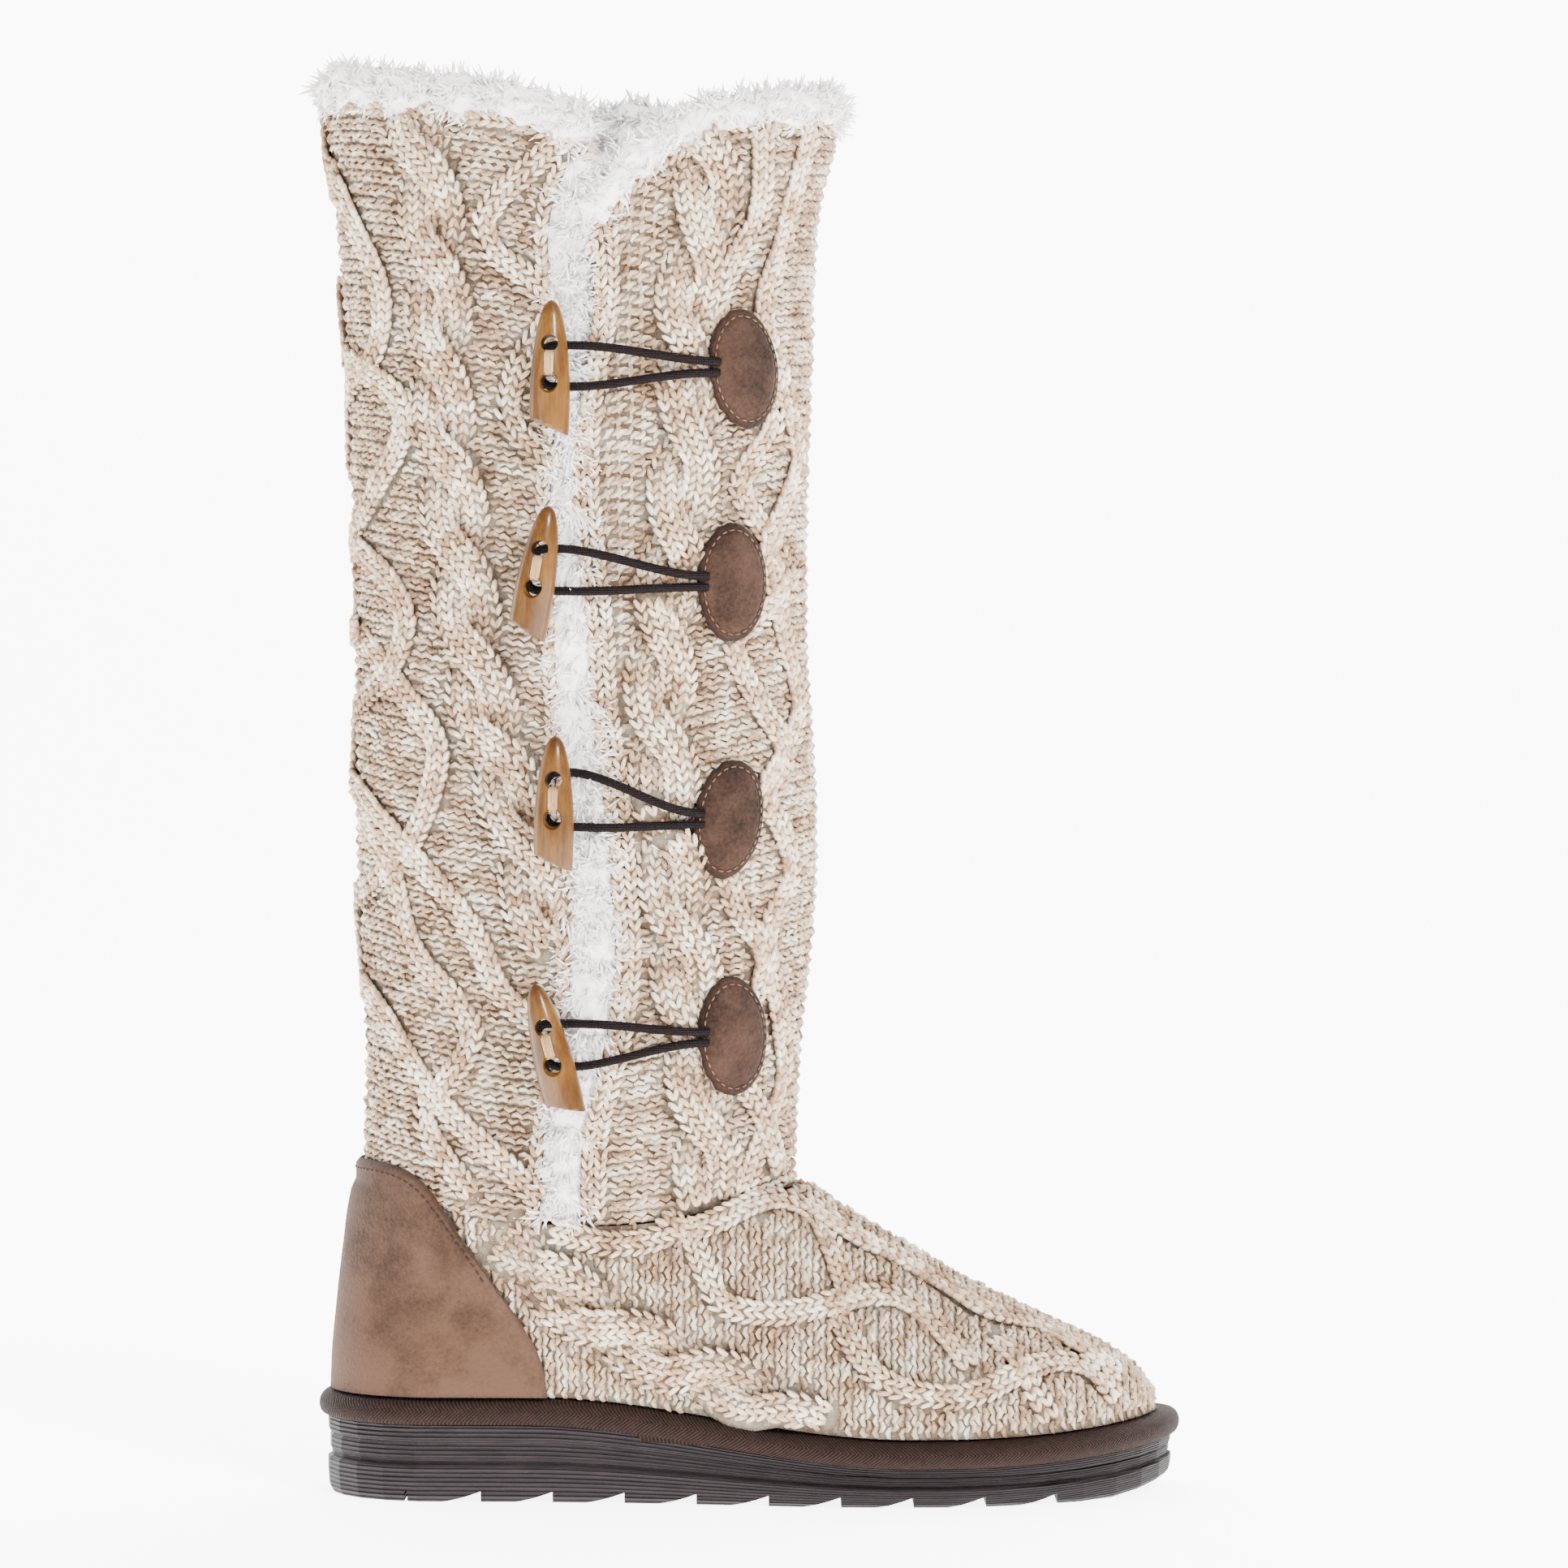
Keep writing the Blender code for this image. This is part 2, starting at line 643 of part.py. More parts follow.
def foot_sheet(rows, columns, offset):
    """Points over the knitted foot with its ridges, offset outwards. No ridge runs under the
    heel counter."""
    sheet = []
    for row in rows:
        line = []
        for i in range(columns):
            angle = 2 * math.pi * i / columns
            wave = math.cos(angle * row.waves + row.phase * 2 * math.pi)
            rise = min(max(row.base + row.sway * wave, 0.0), 1.0)
            inside = min(max(rise, 0.012), 0.988)
            normal = surface_normal(foot_point, angle, inside, 0.02, 0.01)
            past = abs(math.remainder(angle, 2 * math.pi)) - counter_angle()
            ridge = CABLE_HEIGHT * row.raised * ease(past, 0.04, 0.30)
            line.append(foot_point(angle, rise) + normal * (offset + ridge))
        sheet.append(line)
    return sheet


def level(line, height_at):
    """A rim's points at the height that height_at gives at each."""
    return [Vector((p.x, p.y, height_at(p.x))) for p in line]


def make_upper():
    outer = foot_sheet(FOOT_ROWS, FOOT_COLUMNS, 0.0)
    lining_rows = [Row(base, 0, 0, 0, 0) for base in FOOT_LINING_ROWS]
    inner = foot_sheet(lining_rows, FOOT_LINING_COLUMNS, -KNIT_WALL)
    for sheet in (outer, inner):
        sheet[0] = level(sheet[0], lambda x: feather_height(x) + GAP)
        sheet[-1] = level(sheet[-1], lambda x: seam_height(x) - GAP)
    make_wall("upper", "knit", outer, inner, True)


def cable_lines(rise):
    """Where the shaft's grid lines cross its ring: (share of the way round, lift in cables)."""
    length = shaft_ring(rise)[1][-1]
    lines = [(knit_edge(FRONT_EDGE, rise), 0.0)]
    for cable in SHAFT_CABLES:
        centre = mix(cable.bottom, cable.top, rise)
        swing = math.cos(2 * math.pi * (cable.waves * rise + cable.phase))
        if cable.kind == "rope":
            lump = 0.80 + 0.20 * swing
            half = CABLE_HALF * (0.92 + 0.08 * swing) / length
            places = ((-1, 0), (-0.72, lump), (0.72, lump), (1, 0))
        else:
            centre += cable.sway * CABLE_HALF * swing / length
            half = STRAND_HALF / length
            places = ((-1, 0), (0, 0.8), (1, 0))
        lines += [(centre + place * half, lift) for place, lift in places]
    lines.append((1 + knit_edge(BACK_EDGE, rise), 0.0))
    return lines


def with_ground(rows, widest):
    """Adds lines across each stretch of plain ground, twice as close beside the lapel."""
    middle = rows[len(rows) // 2]
    full = [[row[0]] for row in rows]
    for i in range(1, len(middle)):
        plain = middle[i - 1][1] == middle[i][1] == 0
        room = widest / 2 if i == 1 else widest
        more = int((middle[i][0] - middle[i - 1][0]) / room) if plain else 0
        for row, new in zip(rows, full):
            for step in range(1, more + 1):
                new.append((mix(row[i - 1][0], row[i][0], step / (more + 1)), 0.0))
            new.append(row[i])
    return full


def cable_lift(way_round, rise):
    """Height of a full cable: none where the heel counter covers the shaft."""
    back_x = ANKLE_X - ANKLE_REACH
    over = counter_edge(LAST_HEEL_X) - seam_height(back_x)
    top = over / (COLLAR_HEIGHT - seam_height(back_x))
    behind = 1 - ease(abs(way_round - 0.75), 0.16, 0.22)
    return CABLE_HEIGHT * mix(1.0, ease(rise, top + 0.01, top + 0.04), behind)


def make_shaft():
    rises = [i / SHAFT_ROWS for i in range(SHAFT_ROWS + 1)]
    rows = with_ground([cable_lines(rise) for rise in rises], widest=0.033)
    outer = []
    for rise, row in zip(rises, rows):
        outer.append([shaft_point(way, rise, lift * cable_lift(way, rise)) for way, lift in row])
    inner = []
    for rise in rises[::2]:
        slant = KNIT_WALL / 2 / shaft_ring(rise)[1][-1]
        front, back = knit_edge(FRONT_EDGE, rise) + slant, 1 + knit_edge(BACK_EDGE, rise) - slant
        ways = [mix(front, back, k / SHAFT_LINING_COLUMNS) for k in range(SHAFT_LINING_COLUMNS + 1)]
        inner.append([shaft_point(way, rise, -KNIT_WALL) for way in ways])
    for sheet in (outer, inner):
        sheet[0] = level(sheet[0], lambda x: seam_height(x) + GAP)
    make_wall("shaft", "knit", outer, inner, False)


def counter_edge(x):
    """Height of the counter's curved top edge at x, an arc of a rounded square."""
    reach = min(max((x - LAST_HEEL_X) / COUNTER_REACH, 0.0), 1.0)
    share = (1 - reach**COUNTER_FULLNESS) ** (1 / COUNTER_FULLNESS)
    return feather_height(x) + COUNTER_HEIGHT * share


def heel_point(angle, height, offset):
    """Point beside the heel at a height above the floor, on the foot or straight above its seam."""
    low, high = 0.0, 1.0
    for _ in range(24):
        middle = (low + high) / 2
        if foot_point(angle, middle).z < height:
            low = middle
        else:
            high = middle
    point = foot_point(angle, low)
    normal = surface_normal(foot_point, angle, min(max(low, 0.012), 0.95), 0.02, 0.01)
    normal.z = 0
    return Vector((point.x, point.y, max(height, point.z))) + normal.normalized() * offset


def make_counter():
    step = 2 * math.pi / FOOT_COLUMNS
    widest = 0.992 * counter_angle()
    each_side = int(widest / step)
    angles = [-widest, *(i * step for i in range(-each_side, each_side + 1)), widest]
    sheets = []
    for offset in (COUNTER_CLEARANCE + COUNTER_THICKNESS, COUNTER_CLEARANCE):
        sheet = []
        for row in range(COUNTER_ROWS + 1):
            share = (row / COUNTER_ROWS) ** 1.5
            line = []
            for angle in angles:
                x = foot_point(angle, 0.0).x
                height = mix(feather_height(x) + GAP, counter_edge(x), share)
                line.append(heel_point(angle, height, offset))
            sheet.append(line)
        sheets.append(sheet)
    make_wall("heel_counter", "suede", sheets[0], sheets[1], False)


def make_band(name, rings):
    """A band of pile swept through rings of points, with both ends closed."""
    bm = bmesh.new()
    verts = add_grid(bm, rings, True)
    for ring in (verts[0], verts[-1]):
        bm.faces.new(ring)
    new_solid(bm, name, "pile", sharp=60)


def tufts(seed, count, wide):
    """Seeded lumps between -1 and 1, a row for each section and a column for each point."""
    return np.random.default_rng(seed).uniform(-1, 1, (count, wide))


# A point of the collar trim's section: out from the knit's outside, up from its edge, and whether
# the tufts move it
Pile = namedtuple("Pile", "out up free")


def collar_section():
    """Section of the collar trim, which sits on the knit edge and hangs down inside it."""
    inside = KNIT_WALL + PILE_CLEARANCE
    deep = inside + PILE_THICKNESS
    return [
        Pile(0.35 * PILE_OVERHANG, 2 * GAP, 0),
        Pile(0.95 * PILE_OVERHANG, 0.20 * PILE_HEIGHT, 1),
        Pile(PILE_OVERHANG, 0.60 * PILE_HEIGHT, 1),
        Pile(0.40 * PILE_OVERHANG, 0.97 * PILE_HEIGHT, 1),
        Pile(-0.35 * deep, PILE_HEIGHT, 1),
        Pile(-0.83 * deep, 0.64 * PILE_HEIGHT, 1),
        Pile(-deep, 0.0, 1),
        Pile(-0.92 * deep, -0.75 * PILE_SKIRT, 1),
        Pile(-0.80 * deep, -PILE_SKIRT, 0),
        Pile(-inside - GAP, -0.88 * PILE_SKIRT, 0),
        Pile(-inside, 2 * GAP, 0),
    ]


def make_pile_collar():
    section = collar_section()
    lumps = tufts(7, COLLAR_SECTIONS, len(section))
    length = shaft_ring(1.0)[1][-1]
    front = knit_edge(FRONT_EDGE, 1.0) + 5 * GAP / length
    back = 1 + knit_edge(BACK_EDGE, 1.0) - 3 * GAP / length
    rings = []
    for i in range(COLLAR_SECTIONS):
        share = i / (COLLAR_SECTIONS - 1)
        way = mix(front, back, 0.35 * share**2 + 0.65 * share)
        edge = shaft_point(way, 1.0)
        run = (shaft_point(way + 0.004, 1.0) - shaft_point(way - 0.004, 1.0)).normalized()
        away = edge - shaft_point(way, 0.965)
        away = (away - run * away.dot(run)).normalized()
        outward = run.cross(away)
        ring = []
        for point, lump in zip(section, lumps[i]):
            out = point.out * (1 + point.free * lump * TUFT / PILE_OVERHANG)
            up = point.up * (1 + point.free * lump * TUFT / PILE_HEIGHT)
            ring.append(edge + outward * out + away * up)
        rings.append(ring)
    make_band("pile_collar", rings)


def make_pile_placket():
    """The strip of pile that fills the opening and backs both of its knit edges."""
    count = SHAFT_ROWS - 1
    lumps = tufts(11, count, 4)
    behind = -KNIT_WALL - 4 * GAP
    deep = behind - PLACKET_THICKNESS
    rings = []
    for i in range(count):
        rise = max(i / SHAFT_ROWS, 0.004)
        length = shaft_ring(rise)[1][-1]
        clear, reach = 2.2 * GAP / length, PLACKET_FLANGE / length
        knit_back, knit_front = knit_edge(BACK_EDGE, rise), knit_edge(FRONT_EDGE, rise)
        back, front = knit_back + clear, knit_front - clear
        back_z, front_z = shaft_point(1 + knit_back, rise).z, shaft_point(knit_front, rise).z
        face = [
            (front, PLACKET_PROUD * 0.4),
            (mix(back, front, 0.68), PLACKET_PROUD),
            (mix(back, front, 0.32), PLACKET_PROUD),
            (back, PLACKET_PROUD * 0.4),
        ]
        section = [(way, out + lump * TUFT / 2) for (way, out), lump in zip(face, lumps[i])]
        section += [(back, behind), (back - reach, behind), (back - reach, deep)]
        section += [(front + reach, deep), (front + reach, behind), (front, behind)]
        ring = []
        for way, out in section:
            point = shaft_point(way, rise, out)
            across = min(max((way - back) / (front - back), 0.0), 1.0)
            ring.append(Vector((point.x, point.y, mix(back_z, front_z, across))))
        rings.append(ring)
    make_band("pile_placket", rings)


def fastening_place(x, z):
    """X and Z of a place that the fastenings' table gives in shares."""
    return SHAFT_CENTRE_X + x * SHAFT_DEPTH / 2, mix(SEAM_HEIGHT, COLLAR_HEIGHT, z)


def toggle_frame(fastening):
    """A toggle's frame: X across it, Y inwards, Z up its own axis."""
    point, normal, toe_ward = side_frame(*fastening_place(fastening.x, fastening.z))
    lean = math.radians(fastening.lean)
    axis = Vector((0, 0, 1)) * math.cos(lean) - toe_ward * math.sin(lean)
    turned = Matrix((axis.cross(normal), -normal, axis)).transposed().to_4x4()
    return Matrix.Translation(point + normal * TOGGLE_OUT) @ turned


def toggle_cuts():
    """The two holes through a toggle and the slanting cut across its end, in its own frame."""
    bm = bmesh.new()
    through = Matrix.Rotation(math.pi / 2, 4, "X")
    for side in (-1, 1):
        bmesh.ops.create_cone(
            bm,
            cap_ends=True,
            segments=HOLE_SIDES,
            radius1=HOLE_RADIUS,
            radius2=HOLE_RADIUS,
            depth=3 * TOGGLE_RADIUS,
            matrix=Matrix.Translation((0, 0, side * HOLE_SPACING / 2)) @ through,
        )
    size = 5 * TOGGLE_RADIUS
    end = Matrix.Translation((0, 0, -TOGGLE_LENGTH / 2))
    slant = Matrix.Rotation(math.radians(TOGGLE_SLANT), 4, "Y")
    below = Matrix.Translation((0, 0, -size / 2))
    bmesh.ops.create_cube(bm, size=size, matrix=end @ slant @ below)
    return bm


def make_toggle(name, fastening):
    mesh = bpy.data.meshes.new(name)
    profile = []
    for turn in TOGGLE_OUTLINE:
        profile.append((turn.radius * TOGGLE_RADIUS, 0, (turn.place - 0.5) * TOGGLE_LENGTH))
    mesh.from_pydata(profile, [(i, i + 1) for i in range(len(profile) - 1)], [])
    toggle = new_object(name, mesh, "wood")
    toggle.matrix_world = toggle_frame(fastening)
    screw = toggle.modifiers.new("turned", "SCREW")
    screw.steps = screw.render_steps = TOGGLE_SIDES
    screw.use_merge_vertices = True
    screw.merge_threshold = 0.00001
    screw.use_smooth_shade = True
    cut(toggle, toggle_cuts(), toggle_frame(fastening))


def make_cord(name, finish, points, diameter):
    """A round cord through the points, as a bevelled curve with filled ends."""
    curve = bpy.data.curves.new(name, "CURVE")
    curve.dimensions = "3D"
    curve.bevel_depth = diameter / 2
    curve.bevel_resolution = 1
    curve.use_fill_caps = True
    spline = curve.splines.new("POLY")
    spline.points.add(len(points) - 1)
    for place, point in zip(spline.points, points):
        place.co = (*point, 1)
    spline.use_smooth = True
    new_object(name, curve, finish)


def make_tie(name, fastening):
    """The thread that goes through both holes of a toggle and ties it to the knit."""
    frame = toggle_frame(fastening)
    radius = TIE_DIAMETER / 2
    knit = TOGGLE_OUT - CREST - radius
    bridge = HOLE_SPACING / 2 - HOLE_RADIUS + radius + 1.6 * GAP
    front = TOGGLE_RADIUS + radius + 1.3 * GAP
    half = [
        (radius + 1.5 * GAP, knit),
        (bridge, TOGGLE_RADIUS * 1.02),
        (bridge + GAP, -TOGGLE_RADIUS * 0.8),
        (bridge - 2 * GAP, -front),
    ]
    route = half + [(-up, inward) for up, inward in reversed(half)]
    points = [frame @ Vector((0, inward, up)) for up, inward in route]
    make_cord(name, "thread", points, TIE_DIAMETER)


def make_loop(name, fastening):
    """The elastic cord: from the patch round the toggle's thread and back to the patch."""
    toggle_x, toggle_z = fastening_place(fastening.x, fastening.z)
    patch_x, patch_z = fastening_place(fastening.patch_x, fastening.patch_z)
    lean = math.tan(math.radians(fastening.lean))
    half = fastening.spread * HOLE_SPACING / 2
    turn = (CORD_DIAMETER + TIE_DIAMETER) / 2 + 5 * GAP
    start = patch_x - PATCH_WIDTH / 2 - 2 * GAP
    above, below = [], []
    for i in range(CORD_STEPS + 1):
        share = i / CORD_STEPS
        middle = mix(patch_z, toggle_z, ease(share, 0.0, 1.0))
        apart = mix(CORD_DIAMETER / 2 + GAP, half, ease(share, 0.0, 0.9))
        x = mix(start, toggle_x, share)
        above.append((x, middle + apart))
        below.append((x, middle - apart))
    around = []
    for step in (0.2, 0.5, 0.8):
        angle = math.pi * step
        around.append((toggle_x - turn * math.sin(angle), toggle_z + half * math.cos(angle)))
    points = []
    for x, z in above + around + below[::-1]:
        near = 1 - ease(x - toggle_x, 0.1 * TOGGLE_LENGTH, 0.5 * TOGGLE_LENGTH)
        point, normal, _ = side_frame(x - (z - toggle_z) * lean * near, z)
        points.append(point + normal * CORD_OUT)
    make_cord(name, "elastic", points, CORD_DIAMETER)


def make_patch(name, fastening):
    """The oval suede patch over the ends of a loop, domed and following the shaft."""
    patch_x, patch_z = fastening_place(fastening.patch_x, fastening.patch_z)
    lean = Matrix.Rotation(math.radians(fastening.patch_lean), 2)
    middle, middle_normal, _ = side_frame(patch_x, patch_z)
    bm = bmesh.new()
    for radii, edge, dome in (((0.55, 1.0), 0.0, 0.0), ((0.6, 0.9, 1.0), PATCH_EDGE, PATCH_DOME)):
        rows = []
        for radius in radii:
            row = []
            lift = (edge + dome * (1 - radius**2)) * (0.7 if radius == 1.0 else 1.0)
            for i in range(PATCH_SIDES):
                angle = 2 * math.pi * i / PATCH_SIDES
                across = PATCH_WIDTH / 2 * radius * math.cos(angle)
                up = PATCH_HEIGHT / 2 * radius * math.sin(angle)
                shift = lean @ Vector((across, up))
                point, normal, _ = side_frame(patch_x + shift.x, patch_z + shift.y)
                row.append(point + normal * (CREST + lift))
            rows.append(row)
        verts = add_grid(bm, rows, True)
        crown = bm.verts.new(middle + middle_normal * (CREST + edge + dome))
        for i in range(PATCH_SIDES):
            bm.faces.new((verts[0][i], verts[0][i - 1], crown))
    bmesh.ops.bridge_loops(bm, edges=[rim for rim in bm.edges if rim.is_boundary])
    new_solid(bm, name, "suede")


for old in list(bpy.data.objects):
    bpy.data.objects.remove(old)
BOOT = bpy.data.collections.new("knit_boot")
CUTTERS = bpy.data.collections.new("cutters")
for group in (BOOT, CUTTERS):
    bpy.context.scene.collection.children.link(group)

make_outsole()
make_platform()
make_insole()
make_upper()
make_shaft()
make_counter()
make_pile_collar()
make_pile_placket()
for number, row in enumerate(FASTENINGS, 1):
    make_toggle(f"toggle_{number}", row)
    make_tie(f"toggle_tie_{number}", row)
    make_loop(f"loop_{number}", row)
    make_patch(f"patch_{number}", row)
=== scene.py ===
# %% [markdown]
# # Knee-high cable-knit boot
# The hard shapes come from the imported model. Everything that is soft on the real boot is made
# here over the same surfaces: the knit is laid stitch by stitch, the pile is planted as small
# locks, and each finish is a material built from nodes.

import math

import bmesh
import bpy
import numpy as np
from mathutils import Matrix, Vector, kdtree


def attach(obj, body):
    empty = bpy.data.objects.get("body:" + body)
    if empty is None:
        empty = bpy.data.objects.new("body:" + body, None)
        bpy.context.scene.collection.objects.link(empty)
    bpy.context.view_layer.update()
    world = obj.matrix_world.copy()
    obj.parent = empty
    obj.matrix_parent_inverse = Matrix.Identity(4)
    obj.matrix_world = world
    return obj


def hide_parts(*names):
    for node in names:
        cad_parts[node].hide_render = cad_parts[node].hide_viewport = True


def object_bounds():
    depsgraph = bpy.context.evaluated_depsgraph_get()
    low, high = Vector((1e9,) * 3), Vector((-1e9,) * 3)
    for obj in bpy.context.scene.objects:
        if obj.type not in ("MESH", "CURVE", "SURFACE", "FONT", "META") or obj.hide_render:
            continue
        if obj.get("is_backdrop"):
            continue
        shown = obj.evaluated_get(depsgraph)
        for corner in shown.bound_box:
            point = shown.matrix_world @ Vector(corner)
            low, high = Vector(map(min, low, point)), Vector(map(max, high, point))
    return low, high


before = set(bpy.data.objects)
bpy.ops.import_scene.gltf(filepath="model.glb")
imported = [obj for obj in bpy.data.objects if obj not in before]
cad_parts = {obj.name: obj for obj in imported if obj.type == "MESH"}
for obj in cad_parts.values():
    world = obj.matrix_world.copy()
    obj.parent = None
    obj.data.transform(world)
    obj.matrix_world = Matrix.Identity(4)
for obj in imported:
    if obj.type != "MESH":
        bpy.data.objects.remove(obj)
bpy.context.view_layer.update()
print("nodes", len(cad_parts))

# %% [markdown]
# ## Objects and pieces
# Every part of the boot is a mesh with one finish, and all of them ride on the boot's only body.
# Each could be linked and given its finish by hand, but a few helpers do it alike every time.
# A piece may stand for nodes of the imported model, whose soft solids are too plain to be seen.


# %% Objects in the scene
def add_object(name, data):
    obj = bpy.data.objects.new(name, data)
    bpy.context.scene.collection.objects.link(obj)
    return obj


def mesh_from(bm, name):
    bmesh.ops.recalc_face_normals(bm, faces=bm.faces)
    mesh = bpy.data.meshes.new(name)
    bm.to_mesh(mesh)
    bm.free()
    mesh.shade_smooth()
    return mesh


def applied(obj):
    """The mesh that an object shows, in place of the object."""
    mesh = bpy.data.meshes.new_from_object(
        obj.evaluated_get(bpy.context.evaluated_depsgraph_get()))
    bpy.data.objects.remove(obj)
    return mesh


def add_piece(name, data, material, slot, *nodes):
    """A visible piece of the boot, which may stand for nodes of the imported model."""
    data.materials.clear()
    data.materials.append(material)
    obj = add_object(name, data)
    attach(obj, "root")
    if nodes:
        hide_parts(*nodes)
    return obj


# %% [markdown]
# ## Camera and light
# The boot is photographed level from its outer side with a long lens, so its lines stay nearly
# parallel. Large lamps in front, beside and behind keep every shadow faint. Round area lights
# were chosen over a sun, because their shadows have soft edges, as in a studio.

# %% Camera and lights
camera_data = bpy.data.cameras.new("camera")
camera_data.lens = 114.67
camera_data.sensor_width = 36
camera = add_object("camera", camera_data)
camera.location = (0.111, -1.6, 0.2254)
camera.rotation_euler = (math.pi / 2, 0, 0)
bpy.context.scene.camera = camera


def add_light(name, place, size, power):
    data = bpy.data.lights.new(name, "AREA")
    data.shape = "DISK"
    data.size = size
    data.energy = power
    light = add_object(name, data)
    light.location = place
    aim = Vector((0.08, 0, 0.2)) - light.location
    light.rotation_euler = aim.to_track_quat("-Z", "Y").to_euler()


add_light("key", (0.95, -1.35, 1.25), 0.5, 70)
add_light("fill", (-1.3, -1.4, 0.5), 1.2, 10)
add_light("back", (0.2, 1.2, 1.6), 1.2, 26)
world = bpy.data.worlds.new("studio")
world.use_nodes = True
world.node_tree.nodes["Background"].inputs["Color"].default_value = (1, 1, 1, 1)
world.node_tree.nodes["Background"].inputs["Strength"].default_value = 0.8
bpy.context.scene.world = world
print("lens %.0f mm," % camera_data.lens, len(bpy.data.lights), "lights")

# %% [markdown]
# ## Paper sweep
# A studio's backdrop is a roll of paper that curves up behind the boot, so no line shows where
# the floor ends. A grid whose far edge is pulled up gives its shape, once the fold is bevelled
# in many steps. The paper glows a little, which keeps it white without a strong lamp.

# %% Paper sweep
bm = bmesh.new()
bmesh.ops.create_grid(bm, x_segments=1, y_segments=1, size=4)
far = [edge for edge in bm.edges if all(vert.co.y > 3 for vert in edge.verts)]
for vert in far[0].verts:
    vert.co.y = 1.8
wall = bmesh.ops.extrude_edge_only(bm, edges=far)
bmesh.ops.translate(bm, verts=[v for v in wall["geom"] if isinstance(v, bmesh.types.BMVert)],
                    vec=(0, 0, 3))
bmesh.ops.bevel(bm, geom=far, offset=0.9, segments=24, profile=0.5, affect="EDGES", material=-1)
paper = bpy.data.materials.new("paper")
paper.use_nodes = True
paper_shader = paper.node_tree.nodes["Principled BSDF"]
paper_shader.inputs["Base Color"].default_value = (0.95, 0.95, 0.95, 1)
paper_shader.inputs["Roughness"].default_value = 1.0
paper_shader.inputs["Emission Color"].default_value = (1, 1, 1, 1)
paper_shader.inputs["Emission Strength"].default_value = 6.0
sweep_mesh = mesh_from(bm, "sweep")
sweep_mesh.materials.append(paper)
add_object("sweep", sweep_mesh)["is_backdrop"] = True
print("sweep", len(sweep_mesh.polygons), "faces")

# %% [markdown]
# ## Expressions for materials
# A material is easier to read as sums than as boxes and wires. This class wraps one socket, so
# that `noise * 0.5 + 0.2` adds the Math nodes by itself. They could be placed in the editor too,
# but a sum is shorter, and a change to it is one number.


# %% Shader expressions
class Value:
    """A socket that can be added to, multiplied and so on."""

    def __init__(self, maker, socket):
        self.maker = maker
        self.socket = socket

    def math(self, operation, *others):
        return self.maker.add("Math", {"operation": operation}, [self, *others])

    def __add__(self, other):
        return self.math("ADD", other)

    def __sub__(self, other):
        return self.math("SUBTRACT", other)

    def __rsub__(self, other):
        return self.maker.add("Math", {"operation": "SUBTRACT"}, [other, self])

    def __mul__(self, other):
        return self.math("MULTIPLY", other)

    def __truediv__(self, other):
        return self.math("DIVIDE", other)

    __radd__ = __add__
    __rmul__ = __mul__


# %% [markdown]
# The second class holds one material's nodes. Each finish of the boot needs the same few things:
# noise for fibres, a ramp for colours, a mask with soft edges, and a bump for what is too fine to
# model. One method adds any node from its type, settings and inputs, and the rest call it.


# %% Materials from nodes
class Material:
    """A Principled shader with constants, and the nodes that feed it."""

    def __init__(self, name, roughness=0.9, **constants):
        self.material = bpy.data.materials.new(name)
        self.material.use_nodes = True
        self.tree = self.material.node_tree
        self.shader = self.tree.nodes["Principled BSDF"]
        self.shader.inputs["Roughness"].default_value = roughness
        for key, value in constants.items():
            self.shader.inputs[key.replace("_", " ")].default_value = value

    def add(self, kind, settings=None, inputs=(), output=0):
        """A node of a type with its settings, fed by values or links in order or by name."""
        node = self.tree.nodes.new("ShaderNode" + kind)
        for key, value in (settings or {}).items():
            setattr(node, key, value)
        pairs = inputs.items() if isinstance(inputs, dict) else enumerate(inputs)
        for key, value in pairs:
            self.feed(node.inputs[key], value)
        return Value(self, node.outputs[output])

    def feed(self, socket, value):
        if isinstance(value, Value):
            self.tree.links.new(value.socket, socket)
        elif isinstance(value, tuple) and len(socket.default_value) == 4:
            socket.default_value = (*value, 1)
        else:
            socket.default_value = value

    def coords(self):
        return self.add("TexCoord", output="Object")

    def attribute(self, name):
        return self.add("Attribute", {"attribute_name": name}, output="Fac")

    def noise(self, vector, scale, detail=3.0, roughness=0.5):
        values = {"Vector": vector, "Scale": scale, "Detail": detail, "Roughness": roughness}
        return self.add("TexNoise", inputs=values)

    def ramp(self, value, *stops):
        node = self.tree.nodes.new("ShaderNodeValToRGB")
        while len(node.color_ramp.elements) < len(stops):
            node.color_ramp.elements.new(0.5)
        for element, (place, colour) in zip(node.color_ramp.elements, stops):
            element.position = place
            element.color = (*colour, 1)
        self.feed(node.inputs[0], value)
        return Value(self, node.outputs[0])

    def step(self, value, low, high):
        """0 below low and 1 above high, smooth between."""
        settings = {"interpolation_type": "SMOOTHSTEP"}
        return self.add("MapRange", settings, {"Value": value, "From Min": low, "From Max": high})

    def blend(self, share, first, second):
        """Mixes two colours."""
        return self.add("Mix", {"data_type": "RGBA"}, {0: share, 6: first, 7: second}, output=2)

    def stretched(self, vector, factors):
        return self.add("VectorMath", {"operation": "MULTIPLY"}, [vector, factors])

    def parts(self, vector):
        node = self.tree.nodes.new("ShaderNodeSeparateXYZ")
        self.tree.links.new(vector.socket, node.inputs[0])
        return [Value(self, node.outputs[i]) for i in range(3)]

    def finish(self, colour, height=None, depth=0.001, **inputs):
        """Connects the shader and returns the material."""
        self.feed(self.shader.inputs["Base Color"], colour)
        for key, value in inputs.items():
            self.feed(self.shader.inputs[key.capitalize()], value)
        if height is not None:
            bump = self.add("Bump", inputs={"Height": height, "Distance": depth})
            self.feed(self.shader.inputs["Normal"], bump)
        return self.material


